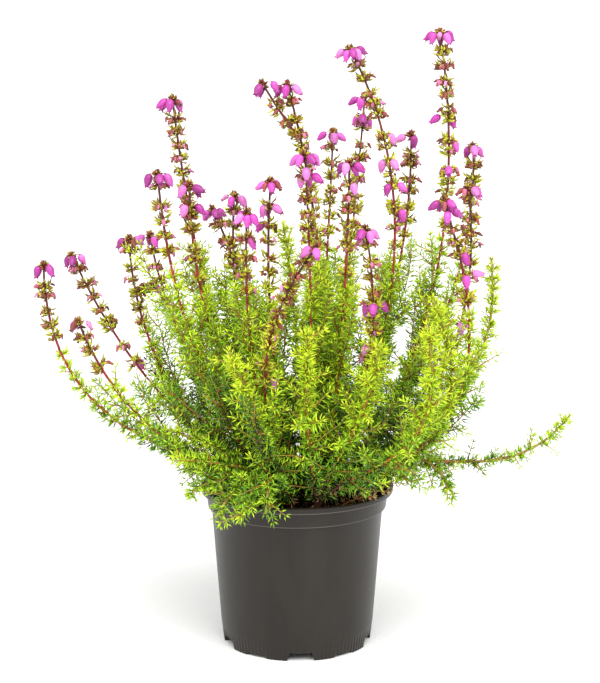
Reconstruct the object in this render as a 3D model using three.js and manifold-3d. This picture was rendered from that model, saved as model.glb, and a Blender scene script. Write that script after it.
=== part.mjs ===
// A bell heather in its nursery pot: leafy stems in compost, most of them ending in a spike of bells.
// Millimetres, +Z up. The origin is the middle of the pot's underside, and -Y is the front.
import * as THREE from 'three';
import { mergeVertices } from 'three/addons/utils/BufferGeometryUtils.js';
import Module from 'manifold-3d';

const wasm = await Module();
wasm.setup();

// Pot
const POT_HEIGHT = 87.4;
const POT_SIDES = 30;
const WALL = 1.4;
const FOOT_RADIUS = 40.3;
const WALL_LOW_RADIUS = 41.7;
const WALL_LOW_HEIGHT = 12;
const WALL_TOP_RADIUS = 46.6;
const COLLAR_HEIGHT = 75.6;
const COLLAR_LOW_RADIUS = 48.6;
const COLLAR_TOP_RADIUS = 49.6;
const LIP_HEIGHT = 83.8;
const LIP_LOW_RADIUS = 50.2;
const LIP_RADIUS = 52.5;
const RIM_INNER_RADIUS = 50.4;
const STEP_RISE = 0.4;
const PLATE_UNDERSIDE = 4.6;
const PLATE_TOP = 6.2;
const PAD_RADIUS = 9;
const NOTCH_COUNT = 5;
const NOTCH_FIRST_ANGLE = 15;
const DEEP_NOTCH = { height: 4.4, topWidth: 12, footWidth: 15 };
const SHALLOW_NOTCH = { height: 1.5, topWidth: 10, footWidth: 14 };
const DRAIN_RADIUS = 3.2;
const DRAIN_CENTRE_RADIUS = 33;
const DRAIN_SIDES = 8;

// Compost
const SOIL = 78;
const SOIL_GAP = 0.35;
const SOIL_SIDES = 24;
const SOIL_BUMP = 1.1;
const SOIL_RINGS = [0.42, 0.74];
const ROOT_DEPTH = 11;
const ROOT_HOLE_HALF_WIDTH = 1.75;
const ROOT_HOLE_EXTRA_DEPTH = 0.5;

// Stems and needles
const STRAIGHT_ROOT = 3;
const ROOT_LEAN = 0.12;
const STEM_RADIUS = 1.2;
const STEM_TIP_RADIUS = 0.85;
const SHOOT_RADIUS = 0.85;
const SHOOT_TIP_RADIUS = 0.7;
const TIP_POINT = 3;
const WHORL_SPACING = 26;
const WHORL_DEPTH = 2;
const FIRST_WHORL = 12;
const LAST_WHORL = 3;
const NEEDLES = { facets: 6, length: 5.2, lean: THREE.MathUtils.degToRad(57) };
const NEEDLE_BALLS = [[0.25, 0.7], [0.5, 0.5], [0.75, 0.3], [1, 0.1]];
const SIDES = 3;

// Clearances
const NODE_GAP = 0.3;
const RIM_GAP = 1.5;
const BALL_STEP = 1;
const ROOM_CELL = 6;

// Side shoots
const SHOOT_SPACING = 90;
const FIRST_SHOOT = 30;
const SHOOT_MARGIN = 14;
const SHOOT_LENGTHS = [20, 32];
const SHOOT_BEND = 0.55;
const SHOOT_REACH = 0.15;
const SHOOT_RISE = 0.32;
const SHOOT_FIRST_WHORL = 0.42;
const SHOOT_ANGLE = THREE.MathUtils.degToRad(48);
const GOLDEN_ANGLE = THREE.MathUtils.degToRad(137.508);
const TURN_STEPS = 9;

// Flower spikes
const SPIKE_GAP = 0.3;
const SPIKE_RADIUS = 0.85;
const SPIKE_TIP_RADIUS = 0.65;
const BUD_WHORL_SPACING = 15;
const BUDS = { facets: 3, length: 4.4, lean: THREE.MathUtils.degToRad(74) };
const HEAD_BELOW_TIP = 2;
const WHORL_OF_BELLS = 6;
const BELL_WHORL_STEP = 9;
const BELL_LENGTH = 7.8;
const BELL_BELLY = { along: 4.6, radius: 2.15 };
const BELL_MOUTH_RADIUS = 1.2;
const BELL_SIDES = 4;
const BELL_BALLS = [[1.8, 0.9], [3.2, 1.5], [4.6, 2.05], [6.2, 1.7], [7.5, 1.1]];
const BELL_CLEARANCE = 0.1;
const HIGH_PITCHES = [-28, -14, 0, -40, 14, -50].map(THREE.MathUtils.degToRad);
const LOW_PITCHES = [-56, -50, -62, -44, -36, -26, -14].map(THREE.MathUtils.degToRad);
const BELL_FACETS = [0, 2, 4, 1, 3, 5];

const COLOURS = {
  pot: 0x45423d,
  compost: 0x2a1d15,
  leaf: [0x8fb02a, 0x7fa324, 0x9dbb35, 0x6f951f],
  bell: [0xd94fc0, 0xc943b0, 0xe05fc9],
};

// Each stem rises from its root, bends past its elbow and ends at its tip.
// spike is the length of its flower spike, head the bells at the tip, and lower the bells further down,
// as pairs of distance below the tip and number. A fork is a second head: its place, how far below the
// tip it branches off, and its number of bells.
const STEMS = [
  { root: [-18, -3], elbow: [-134, -16, 101], tip: [-133, -16, 210], rise: 30, spike: 48, head: 3 },
  { root: [-24, 8], elbow: [-82, 16, 118], tip: [-122, 18, 210], spike: 78, head: 3, lower: [[68, 1]] },
  { root: [-19, -13], elbow: [-84, -34, 104], tip: [-113, -36, 183], spike: 34, head: 3 },
  {
    root: [-22, 18], elbow: [-88, 36, 118], tip: [-93, 38, 217],
    spike: 52, head: 3, fork: [-80, 30, 192, 30, 4],
  },
  { root: [-12, 26], elbow: [-70, 66, 128], tip: [-84, 74, 214], spike: 45, head: 3 },
  { root: [-14, 6], elbow: [-50, 8, 150], tip: [-66, 10, 295], spike: 76, head: 6 },
  { root: [-13, -21], elbow: [-62, -36, 146], tip: [-71, -38, 260], spike: 48, head: 4 },
  { root: [-9, -9], elbow: [-56, -14, 160], tip: [-56, -16, 252], spike: 56, head: 5, lower: [[12, 2]] },
  { root: [-2, 24], elbow: [-16, 48, 160], tip: [-47, 54, 231], spike: 44, head: 6 },
  { root: [-6, 14], elbow: [-40, 20, 160], tip: [-34, 24, 242], spike: 44, head: 4 },
  { root: [-5, -19], elbow: [-30, -46, 150], tip: [-25, -54, 242], spike: 48, head: 5, lower: [[14, 2]] },
  {
    root: [-1, 2], elbow: [-20, 2, 160], tip: [-14, 2, 252],
    spike: 62, head: 6, lower: [[14, 3], [24, 2]],
  },
  { root: [3, 34], elbow: [2, 70, 150], tip: [-8, 88, 218] },
  {
    root: [7, 8], elbow: [26, -2, 190], tip: [-5, -4, 303],
    spike: 92, head: 6, fork: [-18, -8, 304, 30, 3],
  },
  { root: [6, -10], elbow: [10, -34, 170], tip: [4, -40, 270], spike: 62, head: 7, lower: [[12, 3]] },
  { root: [9, 18], elbow: [16, 46, 180], tip: [20, 54, 274], spike: 60, head: 4 },
  { root: [14, -17], elbow: [26, -26, 160], tip: [27, -28, 265], spike: 60, head: 5, lower: [[12, 2]] },
  {
    root: [16, 4], elbow: [86, 12, 215], tip: [28, 14, 321],
    spike: 112, head: 6, lower: [[50, 2], [64, 2], [77, 2], [91, 2]],
  },
  { root: [14, 28], elbow: [30, 62, 190], tip: [38, 72, 292], spike: 90, head: 5, lower: [[12, 3]] },
  { root: [20, 25], elbow: [65, 44, 180], tip: [63, 50, 273], spike: 60, head: 3, lower: [[48, 1]] },
  {
    root: [25, 6], elbow: [100, 6, 180], tip: [75, 6, 330],
    spike: 106, head: 6, lower: [[46, 2], [58, 2], [73, 3]],
  },
  {
    root: [25, -9], elbow: [124, -34, 108], tip: [75, -34, 246],
    spike: 58, head: 8, lower: [[30, 2], [42, 2]],
  },
  { root: [28, 20], elbow: [104, 50, 165], tip: [98, 58, 266], spike: 56, head: 3 },
  {
    root: [32, 0], elbow: [104, -8, 140], tip: [90, -8, 250],
    spike: 96, head: 5, lower: [[74, 2], [84, 1]],
  },
  {
    root: [11, -28], elbow: [50, -62, 150], tip: [34, -72, 236],
    spike: 74, head: 5, lower: [[40, 4], [64, 2]],
  },
  { root: [23, -20], elbow: [106, -56, 112], tip: [68, -60, 199] },
  { root: [-2, -30], elbow: [-38, -62, 165], tip: [10, -80, 228], spike: 92, head: 2, lower: [[82, 1]] },
];

// Stems with leaves only. Those of one clump grow from one root.
const GREEN_STEMS = {
  green_stem_1: [{ root: [36, 15], elbow: [118, 36, 118], tip: [107, 34, 205], rise: 34 }],
  green_stem_2: [{ root: [38, 7], elbow: [112, 8, 72], tip: [149, 12, 122], rise: 42 }],
  green_stem_3: [{ root: [32, -14], elbow: [72, -28, 118], tip: [83, -30, 88], rise: 38 }],
  front_clump_left: [
    { root: [-13, -32], elbow: [-14, -60, 126], tip: [-34, -70, 174], rise: 30 },
    { root: [-13, -32], elbow: [-14, -54, 112], tip: [-16, -64, 88], rise: 32 },
    { root: [-13, -32], elbow: [-34, -46, 106], tip: [-62, -46, 114], rise: 34 },
  ],
  front_clump_right: [
    { root: [10, -37], elbow: [3, -60, 130], tip: [5, -70, 183], rise: 30 },
    { root: [10, -37], elbow: [38, -62, 130], tip: [41, -70, 178], rise: 30 },
    { root: [10, -37], elbow: [82, -74, 104], tip: [64, -84, 190], rise: 34 },
  ],
};
const DEFAULT_RISE = 26;

// A repeatable draw between 0 and 1 for a pair of whole numbers.
function draw(i, j) {
  const value = Math.sin(i * 12.9898 + j * 78.233) * 43758.5453;
  return value - Math.floor(value);
}

function between([low, high], share) {
  return low + (high - low) * share;
}

// Solids

function meshGeometry(vertices, faces) {
  const geometry = new THREE.BufferGeometry();
  const coordinates = vertices.flatMap((vertex) => vertex.toArray());
  geometry.setAttribute('position', new THREE.Float32BufferAttribute(coordinates, 3));
  geometry.setIndex(faces.flat());
  return geometry;
}

function solidOf(geometry) {
  const bare = geometry.clone();
  bare.deleteAttribute('normal');
  bare.deleteAttribute('uv');
  const merged = mergeVertices(bare, 1e-4);
  return new wasm.Manifold(new wasm.Mesh({
    numProp: 3,
    vertProperties: new Float32Array(merged.attributes.position.array),
    triVerts: new Uint32Array(merged.index.array),
  }));
}

// The geometry of the largest body of a solid, without loose scraps or sealed hollows.
function geometryOf(solid) {
  const bodies = solid.decompose().sort((a, b) => b.volume() - a.volume());
  const mesh = bodies[0].getMesh();
  const geometry = new THREE.BufferGeometry();
  geometry.setAttribute('position', new THREE.BufferAttribute(new Float32Array(mesh.vertProperties), 3));
  geometry.setIndex(new THREE.BufferAttribute(new Uint32Array(mesh.triVerts), 1));
  return geometry;
}

function join(geometries) {
  return geometryOf(geometries.map(solidOf).reduce((whole, piece) => whole.add(piece)));
}

// A body of revolution about Z from (radius, height) points that start and end on the axis.
function turned(points, sides) {
  const profile = points.map(([radius, height]) => new THREE.Vector2(radius, height));
  return new THREE.LatheGeometry(profile, sides).rotateX(Math.PI / 2);
}

// An upright prism of a flat outline of (x, y) points, from one height to another.
function upright(outline, low, high) {
  const shape = new THREE.Shape(outline.map(([x, y]) => new THREE.Vector2(x, y)));
  return new THREE.ExtrudeGeometry(shape, { depth: high - low, bevelEnabled: false }).translate(0, 0, low);
}

// Room that is taken: balls along every stem, needle and bell, each with the node it belongs to.
class Room {
  constructor(cell) {
    this.cell = cell;
    this.balls = new Map();
  }

  key(x, y, z) {
    return `${Math.floor(x / this.cell)},${Math.floor(y / this.cell)},${Math.floor(z / this.cell)}`;
  }

  take(owner, balls) {
    for (const ball of balls) {
      const key = this.key(ball.centre.x, ball.centre.y, ball.centre.z);
      if (!this.balls.has(key)) {
        this.balls.set(key, []);
      }
      this.balls.get(key).push({ ...ball, owner });
    }
  }

  isFree(owner, balls) {
    return balls.every((ball) => this.near(ball.centre).every((other) => {
      const reach = ball.radius + other.radius + NODE_GAP;
      return owner === other.owner || ball.centre.distanceTo(other.centre) >= reach;
    }));
  }

  near(centre) {
    const found = [];
    const steps = [-this.cell, 0, this.cell];
    for (const dx of steps) {
      for (const dy of steps) {
        for (const dz of steps) {
          const key = this.key(centre.x + dx, centre.y + dy, centre.z + dz);
          found.push(...(this.balls.get(key) ?? []));
        }
      }
    }
    return found;
  }
}

const room = new Room(ROOM_CELL);

function ballsAlong(from, to, radius) {
  const steps = Math.max(1, Math.ceil(from.distanceTo(to) / BALL_STEP));
  const balls = [];
  for (let i = 0; i <= steps; i += 1) {
    balls.push({ centre: from.clone().lerp(to, i / steps), radius });
  }
  return balls;
}

// Routes

function vector([x, y, z]) {
  return new THREE.Vector3(x, y, z);
}

function stemCurve({ root, elbow, tip, rise = DEFAULT_RISE }) {
  const start = new THREE.Vector3(root[0], root[1], SOIL + STRAIGHT_ROOT);
  const lift = new THREE.Vector3(
    root[0] + ROOT_LEAN * (elbow[0] - root[0]),
    root[1] + ROOT_LEAN * (elbow[1] - root[1]),
    SOIL + rise,
  );
  return new THREE.CubicBezierCurve3(start, lift, vector(elbow), vector(tip));
}

// Two directions square to a tangent, steady along a stem.
function sideDirections(tangent) {
  const across = new THREE.Vector3(0, 1, 0).addScaledVector(tangent, -tangent.y).normalize();
  return [across, tangent.clone().cross(across)];
}

function outward(tangent, angle) {
  const [first, second] = sideDirections(tangent);
  return first.multiplyScalar(Math.cos(angle)).addScaledVector(second, Math.sin(angle));
}

// Places along a curve between two lengths, two for each whorl. Each has its point, tangent and radius,
// and the lower one of a whorl has what the whorl is made of.
function stations(curve, from, to, whorls, radii) {
  const length = curve.getLength();
  const stops = [{ along: from }];
  for (const { along, kind } of whorls) {
    stops.push({ along: along - WHORL_DEPTH / 2, kind }, { along: along + WHORL_DEPTH / 2 });
  }
  stops.push({ along: to });
  return stops.map(({ along, kind }) => {
    const share = THREE.MathUtils.clamp(along / length, 0, 1);
    return {
      point: curve.getPointAt(share),
      tangent: curve.getTangentAt(share),
      radius: between(radii, (along - from) / (to - from)),
      kind,
    };
  });
}

function whorlPlaces(first, last, spacing) {
  if (last < first) {
    return [];
  }
  const count = Math.round((last - first) / spacing);
  return Array.from({ length: count + 1 }, (_, i) => first + ((last - first) * i) / Math.max(1, count));
}

function needleWhorls(first, last) {
  return whorlPlaces(first, last, WHORL_SPACING).map((along) => ({ along, kind: NEEDLES }));
}

function takeCore(owner, places) {
  for (let i = 1; i < places.length; i += 1) {
    room.take(owner, ballsAlong(places[i - 1].point, places[i].point, places[i].radius));
  }
}

// A three-sided core through its places, each ring turned by half a side. Where a whorl starts, the
// facets up to the next ring are raised into needles or buds, unless another node is in the way.
function needledStem(owner, places, pointed) {
  const vertices = [];
  const faces = [];
  const rings = places.map((place, index) => {
    const turn = index * (Math.PI / SIDES);
    return Array.from({ length: SIDES }, (_, side) => {
      const direction = outward(place.tangent, turn + (side * 2 * Math.PI) / SIDES);
      return vertices.push(place.point.clone().addScaledVector(direction, place.radius)) - 1;
    });
  });
  rings.slice(1).forEach((upper, index) => {
    const lower = rings[index];
    const facets = [];
    for (let side = 0; side < SIDES; side += 1) {
      const next = (side + 1) % SIDES;
      facets.push([lower[side], lower[next], upper[side]], [upper[side], lower[next], upper[next]]);
    }
    const { kind } = places[index];
    if (kind?.bells) {
      faces.push(...whorlOfBells(owner, vertices, facets, places[index]));
    } else if (kind) {
      const raised = facets.map((_, turn) => (turn * kind.facets) % facets.length < kind.facets);
      faces.push(...facets.flatMap((facet, turn) => (
        raised[turn] ? needle(owner, vertices, facet, places[index]) : [facet]
      )));
    } else {
      faces.push(...facets);
    }
  });
  faces.push([...rings[0]].reverse());
  faces.push(...endFaces(vertices, rings.at(-1), places.at(-1), pointed));
  return meshGeometry(vertices, faces);
}

function endFaces(vertices, ring, place, pointed) {
  if (!pointed) {
    return [[...ring]];
  }
  const apex = vertices.push(place.point.clone().addScaledVector(place.tangent, TIP_POINT)) - 1;
  return ring.map((corner, side) => [corner, ring[(side + 1) % SIDES], apex]);
}

// A facet's middle, and the way straight out from the stem there.
function facetFrame(vertices, facet, place) {
  const base = new THREE.Vector3();
  facet.forEach((corner) => base.addScaledVector(vertices[corner], 1 / 3));
  const away = base.clone().sub(place.point);
  away.addScaledVector(place.tangent, -away.dot(place.tangent)).normalize();
  return { base, away };
}

// The facet as a needle's three sides, or flat where the needle would meet another node.
function needle(owner, vertices, facet, place) {
  const { length, lean } = place.kind;
  const { base, away } = facetFrame(vertices, facet, place);
  const direction = away.multiplyScalar(Math.sin(lean)).addScaledVector(place.tangent, Math.cos(lean));
  const tip = base.clone().addScaledVector(direction, length);
  const balls = NEEDLE_BALLS.map(([share, radius]) => ({
    centre: base.clone().lerp(tip, share),
    radius,
  }));
  if (!room.isFree(owner, balls) || inPot(tip)) {
    return [facet];
  }
  room.take(`${owner} needle`, balls);
  const apex = vertices.push(tip) - 1;
  return facet.map((corner, side) => [corner, facet[(side + 1) % SIDES], apex]);
}

// Whether a point is too near the pot's rim or the compost.
function inPot(point) {
  const radius = Math.hypot(point.x, point.y);
  return point.z < POT_HEIGHT + RIM_GAP && radius < LIP_RADIUS + RIM_GAP;
}

// Leafy stems

function stemPlaces(curve, end) {
  const whorls = needleWhorls(FIRST_WHORL, end - LAST_WHORL);
  const places = stations(curve, 0, end, whorls, [STEM_RADIUS, STEM_TIP_RADIUS]);
  const foot = places[0].point.clone();
  foot.z = SOIL - ROOT_DEPTH;
  const upwards = new THREE.Vector3(0, 0, 1);
  places[0].tangent = upwards;
  return [{ point: foot, tangent: upwards, radius: STEM_RADIUS }, ...places];
}

function shootCurve(start, tangent, angle, length) {
  const out = outward(tangent, angle);
  const aim = tangent.clone().multiplyScalar(Math.cos(SHOOT_ANGLE));
  aim.addScaledVector(out, Math.sin(SHOOT_ANGLE));
  const middle = start.clone().addScaledVector(aim, SHOOT_BEND * length);
  const tip = middle.clone().addScaledVector(aim, SHOOT_REACH * length);
  tip.z += SHOOT_RISE * length;
  return new THREE.QuadraticBezierCurve3(start, middle, tip);
}

// Side shoots by a rule: one a fixed step up the stem, each a golden angle on, turned until it is clear.
function sideShoots(owner, seed, curve, top) {
  const shoots = [];
  const starts = whorlPlaces(FIRST_SHOOT, top - SHOOT_MARGIN, SHOOT_SPACING);
  starts.forEach((along, index) => {
    const share = along / curve.getLength();
    const start = curve.getPointAt(share);
    const tangent = curve.getTangentAt(share);
    const length = between(SHOOT_LENGTHS, draw(seed, index));
    for (let turn = 0; turn < TURN_STEPS; turn += 1) {
      const angle = seed + index * GOLDEN_ANGLE + turn * ((2 * Math.PI) / TURN_STEPS);
      const route = shootCurve(start, tangent, angle, length);
      const end = route.getLength();
      const whorls = needleWhorls(SHOOT_FIRST_WHORL * length, end - LAST_WHORL);
      const places = stations(route, 0, end, whorls, [SHOOT_RADIUS, SHOOT_TIP_RADIUS]);
      const tip = places.at(-1);
      const point = tip.point.clone().addScaledVector(tip.tangent, TIP_POINT);
      const balls = [...places.slice(1), { point }].flatMap((place, i) => (
        ballsAlong(places[i].point, place.point, SHOOT_RADIUS)
      ));
      const clearOfPot = balls.every((ball) => !inPot(ball.centre));
      if (clearOfPot && room.isFree(owner, balls)) {
        room.take(owner, balls);
        shoots.push(places);
        return;
      }
    }
  });
  return shoots;
}

// Flower spikes

// The facets of a whorl with the given number raised into bells, the ones that hang lowest first.
function whorlOfBells(owner, vertices, facets, place) {
  const faces = facets.map((facet) => [facet]);
  let left = place.kind.bells;
  for (const turn of BELL_FACETS) {
    if (left > 0) {
      const raised = bell(owner, vertices, facets[turn], place, turn % 2 ? HIGH_PITCHES : LOW_PITCHES);
      left -= raised ? 1 : 0;
      faces[turn] = raised ?? faces[turn];
    }
  }
  return faces.flat();
}

// A bell hangs from its facet: it swells to a round belly and narrows to its mouth. It takes the first
// pitch that is clear of its own stem and of everything else, and there is none where all are blocked.
function bell(owner, vertices, facet, place, pitches) {
  const { base, away } = facetFrame(vertices, facet, place);
  for (const pitch of pitches) {
    const direction = away.clone().multiplyScalar(Math.cos(pitch));
    direction.z += Math.sin(pitch);
    direction.normalize();
    const balls = bellBalls(base, direction);
    if (clearOfStem(vertices, facet, place, base, direction) && room.isFree(owner, balls)) {
      room.take(`${owner} bell`, balls);
      return bellFaces(vertices, facet, base, direction);
    }
  }
  return null;
}

// Whether a bell's belly lies in front of its facet's plane and beside its stem.
function clearOfStem(vertices, facet, place, base, direction) {
  const [a, b, c] = facet.map((corner) => vertices[corner]);
  const front = b.clone().sub(a).cross(c.clone().sub(a)).normalize();
  const { along, radius } = BELL_BELLY;
  const belly = base.clone().addScaledVector(direction, along).sub(place.point);
  belly.addScaledVector(place.tangent, -belly.dot(place.tangent));
  const inFront = along * direction.dot(front) > radius + BELL_CLEARANCE;
  return inFront && belly.length() > radius + place.radius + BELL_CLEARANCE;
}

function bellFaces(vertices, facet, base, direction) {
  const [first, second] = sideDirections(direction);
  const corner = vertices[facet[0]].clone().sub(base);
  const start = Math.atan2(corner.dot(second), corner.dot(first));
  const belly = ringAt(vertices, base, direction, BELL_BELLY.along, BELL_BELLY.radius, start);
  const mouthStart = start + Math.PI / BELL_SIDES;
  const mouth = ringAt(vertices, base, direction, BELL_LENGTH, BELL_MOUTH_RADIUS, mouthStart);
  const [a, b, c] = facet;
  const [p, q, r, s] = belly;
  const faces = [[p, a, q], [a, b, q], [q, b, r], [b, c, r], [r, c, s], [s, c, p], [c, a, p]];
  for (let side = 0; side < BELL_SIDES; side += 1) {
    const next = (side + 1) % BELL_SIDES;
    faces.push([belly[side], belly[next], mouth[side]], [mouth[side], belly[next], mouth[next]]);
  }
  faces.push([mouth[0], mouth[1], mouth[2]], [mouth[0], mouth[2], mouth[3]]);
  return faces;
}

function ringAt(vertices, base, direction, along, radius, start) {
  return Array.from({ length: BELL_SIDES }, (_, side) => {
    const angle = start + (side * 2 * Math.PI) / BELL_SIDES;
    const corner = base.clone().addScaledVector(direction, along);
    return vertices.push(corner.addScaledVector(outward(direction, angle), radius)) - 1;
  });
}

function bellBalls(base, direction) {
  return BELL_BALLS.map(([along, radius]) => ({
    centre: base.clone().addScaledVector(direction, along),
    radius,
  }));
}

// Whorls of bells as pairs of distance below the tip and number: the head, then those further down.
function bellGroups(head, lower) {
  const groups = [];
  for (let left = head; left > 0; left -= WHORL_OF_BELLS) {
    const below = HEAD_BELOW_TIP + groups.length * BELL_WHORL_STEP;
    groups.push([below, Math.min(left, WHORL_OF_BELLS)]);
  }
  return [...groups, ...lower];
}

function spikePlaces(curve, from, groups) {
  const end = curve.getLength();
  const bells = groups.map(([below, count]) => ({ along: end - below, kind: { bells: count } }));
  const buds = whorlPlaces(from + BUD_WHORL_SPACING / 2, end - BELL_WHORL_STEP, BUD_WHORL_SPACING)
    .filter((along) => bells.every((whorl) => Math.abs(whorl.along - along) > BELL_WHORL_STEP / 2))
    .map((along) => ({ along, kind: BUDS }));
  const whorls = [...bells, ...buds].sort((a, b) => a.along - b.along);
  return stations(curve, from, end, whorls, [SPIKE_RADIUS, SPIKE_TIP_RADIUS]);
}

// A second head of a spike, on a branch of its own.
function forkCurve(curve, x, y, z, below) {
  const start = curve.getPointAt(1 - below / curve.getLength());
  const tip = new THREE.Vector3(x, y, z);
  const middle = start.clone().lerp(tip, 0.5);
  middle.z -= 2;
  return new THREE.QuadraticBezierCurve3(start, middle, tip);
}

// The plant: all the stems' routes take their room first, then bells, shoots and needles in turn.

function number(index) {
  return String(index + 1).padStart(2, '0');
}

function plan() {
  const leafy = [];
  const spikes = [];
  STEMS.forEach((stem, index) => {
    const curve = stemCurve(stem);
    const spike = stem.spike ?? 0;
    const end = curve.getLength() - spike;
    const owner = `leafy_stem_${number(index)}`;
    leafy.push({ owner, seed: index + 1, routes: [{ curve, end, pointed: !spike }] });
    if (spike) {
      spikes.push({ owner: `flower_spike_${number(index)}`, curve, from: end + SPIKE_GAP, stem });
    }
  });
  Object.entries(GREEN_STEMS).forEach(([owner, stems], index) => {
    const routes = stems.map((stem) => {
      const curve = stemCurve(stem);
      return { curve, end: curve.getLength(), pointed: true };
    });
    leafy.push({ owner, seed: STEMS.length + index + 1, routes });
  });
  return { leafy, spikes };
}

function growLeafy(item) {
  for (const route of item.routes) {
    route.places = stemPlaces(route.curve, route.end);
    takeCore(item.owner, route.places);
  }
}

function growSpike(item) {
  const { head, lower = [], fork } = item.stem;
  item.routes = [spikePlaces(item.curve, item.from, bellGroups(head, lower))];
  if (fork) {
    const [x, y, z, below, count] = fork;
    item.routes.push(spikePlaces(forkCurve(item.curve, x, y, z, below), 0, bellGroups(count, [])));
  }
  for (const places of item.routes) {
    takeCore(item.owner, places);
  }
}

function growShoots(item) {
  item.shoots = item.routes.flatMap((route, index) => (
    sideShoots(item.owner, item.seed + index * 0.7, route.curve, route.end)
  ));
}

function leafyGeometry(item) {
  const stems = item.routes.map((route) => needledStem(item.owner, route.places, route.pointed));
  const shoots = item.shoots.map((places) => needledStem(item.owner, places, true));
  return join([...stems, ...shoots]);
}

// Pot and compost

function notchCutter(angle, notch) {
  const outline = new THREE.Shape([
    new THREE.Vector2(-notch.footWidth / 2, -1),
    new THREE.Vector2(notch.footWidth / 2, -1),
    new THREE.Vector2(notch.topWidth / 2, notch.height),
    new THREE.Vector2(-notch.topWidth / 2, notch.height),
  ]);
  const reach = 12;
  const cutter = new THREE.ExtrudeGeometry(outline, { depth: reach, bevelEnabled: false });
  cutter.rotateX(Math.PI / 2).translate(0, FOOT_RADIUS + reach / 2, 0);
  return cutter.rotateZ(THREE.MathUtils.degToRad(angle - 90));
}

function drainCutter(angle) {
  const turn = THREE.MathUtils.degToRad(angle);
  const cutter = new THREE.CylinderGeometry(DRAIN_RADIUS, DRAIN_RADIUS, PLATE_TOP, DRAIN_SIDES);
  cutter.rotateX(Math.PI / 2);
  const x = DRAIN_CENTRE_RADIUS * Math.cos(turn);
  const y = DRAIN_CENTRE_RADIUS * Math.sin(turn);
  return cutter.translate(x, y, (PLATE_UNDERSIDE + PLATE_TOP) / 2);
}

function potGeometry() {
  const profile = [
    [0, 0],
    [PAD_RADIUS, 0],
    [PAD_RADIUS + 0.6, PLATE_UNDERSIDE],
    [FOOT_RADIUS - WALL - 0.7, PLATE_UNDERSIDE],
    [FOOT_RADIUS - WALL, 0],
    [FOOT_RADIUS, 0],
    [WALL_LOW_RADIUS, WALL_LOW_HEIGHT],
    [WALL_TOP_RADIUS, COLLAR_HEIGHT],
    [COLLAR_LOW_RADIUS, COLLAR_HEIGHT + STEP_RISE],
    [COLLAR_TOP_RADIUS, LIP_HEIGHT],
    [LIP_LOW_RADIUS, LIP_HEIGHT + STEP_RISE],
    [LIP_RADIUS, POT_HEIGHT - 0.9],
    [LIP_RADIUS - 0.4, POT_HEIGHT],
    [RIM_INNER_RADIUS, POT_HEIGHT],
    [COLLAR_TOP_RADIUS - WALL, LIP_HEIGHT + STEP_RISE],
    [COLLAR_LOW_RADIUS - WALL, COLLAR_HEIGHT + STEP_RISE],
    [WALL_TOP_RADIUS - WALL, COLLAR_HEIGHT - WALL / 2],
    [WALL_LOW_RADIUS - WALL, WALL_LOW_HEIGHT],
    [FOOT_RADIUS - WALL + 0.3, PLATE_TOP],
    [0, PLATE_TOP],
  ];
  const cutters = [];
  for (let i = 0; i < NOTCH_COUNT; i += 1) {
    const angle = -NOTCH_FIRST_ANGLE - (i * 360) / NOTCH_COUNT;
    cutters.push(notchCutter(angle, DEEP_NOTCH));
    cutters.push(notchCutter(angle - 180 / NOTCH_COUNT, SHALLOW_NOTCH));
    cutters.push(drainCutter(angle));
  }
  const body = solidOf(turned(profile, POT_SIDES));
  return geometryOf(cutters.reduce((pot, cutter) => pot.subtract(solidOf(cutter)), body));
}

function soilBump(x, y) {
  const wave = Math.sin(x * 0.31 + 1.3) * Math.cos(y * 0.27 - 0.6) + 0.6 * Math.sin(x * 0.11 - y * 0.17);
  return SOIL_BUMP * wave * 0.6;
}

function compostGeometry(roots) {
  const wallRadius = (height) => between(
    [WALL_LOW_RADIUS - WALL, WALL_TOP_RADIUS - WALL],
    (height - WALL_LOW_HEIGHT) / (COLLAR_HEIGHT - WALL / 2 - WALL_LOW_HEIGHT),
  ) - SOIL_GAP;
  const shelf = COLLAR_HEIGHT - WALL / 2 - 0.8;
  const topRadius = wallRadius(shelf);
  const profile = [
    [0, PLATE_TOP + SOIL_GAP],
    [FOOT_RADIUS - WALL - 0.4, PLATE_TOP + SOIL_GAP],
    [wallRadius(WALL_LOW_HEIGHT), WALL_LOW_HEIGHT],
    [topRadius, shelf],
    [topRadius, SOIL - 1],
    ...[...SOIL_RINGS].reverse().map((share) => [topRadius * share, SOIL]),
    [0, SOIL],
  ];
  const body = turned(profile, SOIL_SIDES);
  const corners = body.attributes.position;
  for (let i = 0; i < corners.count; i += 1) {
    if (corners.getZ(i) > SOIL - 0.5) {
      corners.setZ(i, SOIL + soilBump(corners.getX(i), corners.getY(i)));
    }
  }
  const half = ROOT_HOLE_HALF_WIDTH;
  const holes = roots.map(([x, y]) => upright(
    [[x - half, y - half], [x + half, y - half], [x + half, y + half], [x - half, y + half]],
    SOIL - ROOT_DEPTH - ROOT_HOLE_EXTRA_DEPTH,
    SOIL + 4,
  ));
  return geometryOf(holes.reduce((soil, hole) => soil.subtract(solidOf(hole)), solidOf(body)));
}

function rootPlaces() {
  return [...STEMS, ...Object.values(GREEN_STEMS).map(([stem]) => stem)].map((stem) => stem.root);
}

function finish(colour, roughness) {
  return new THREE.MeshStandardMaterial({ color: colour, roughness, metalness: 0 });
}

function named(name, geometry, material) {
  const mesh = new THREE.Mesh(geometry, material);
  mesh.name = name;
  return mesh;
}

const model = new THREE.Group();
model.add(named('pot', potGeometry(), finish(COLOURS.pot, 0.5)));
model.add(named('compost', compostGeometry(rootPlaces()), finish(COLOURS.compost, 0.98)));

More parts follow.
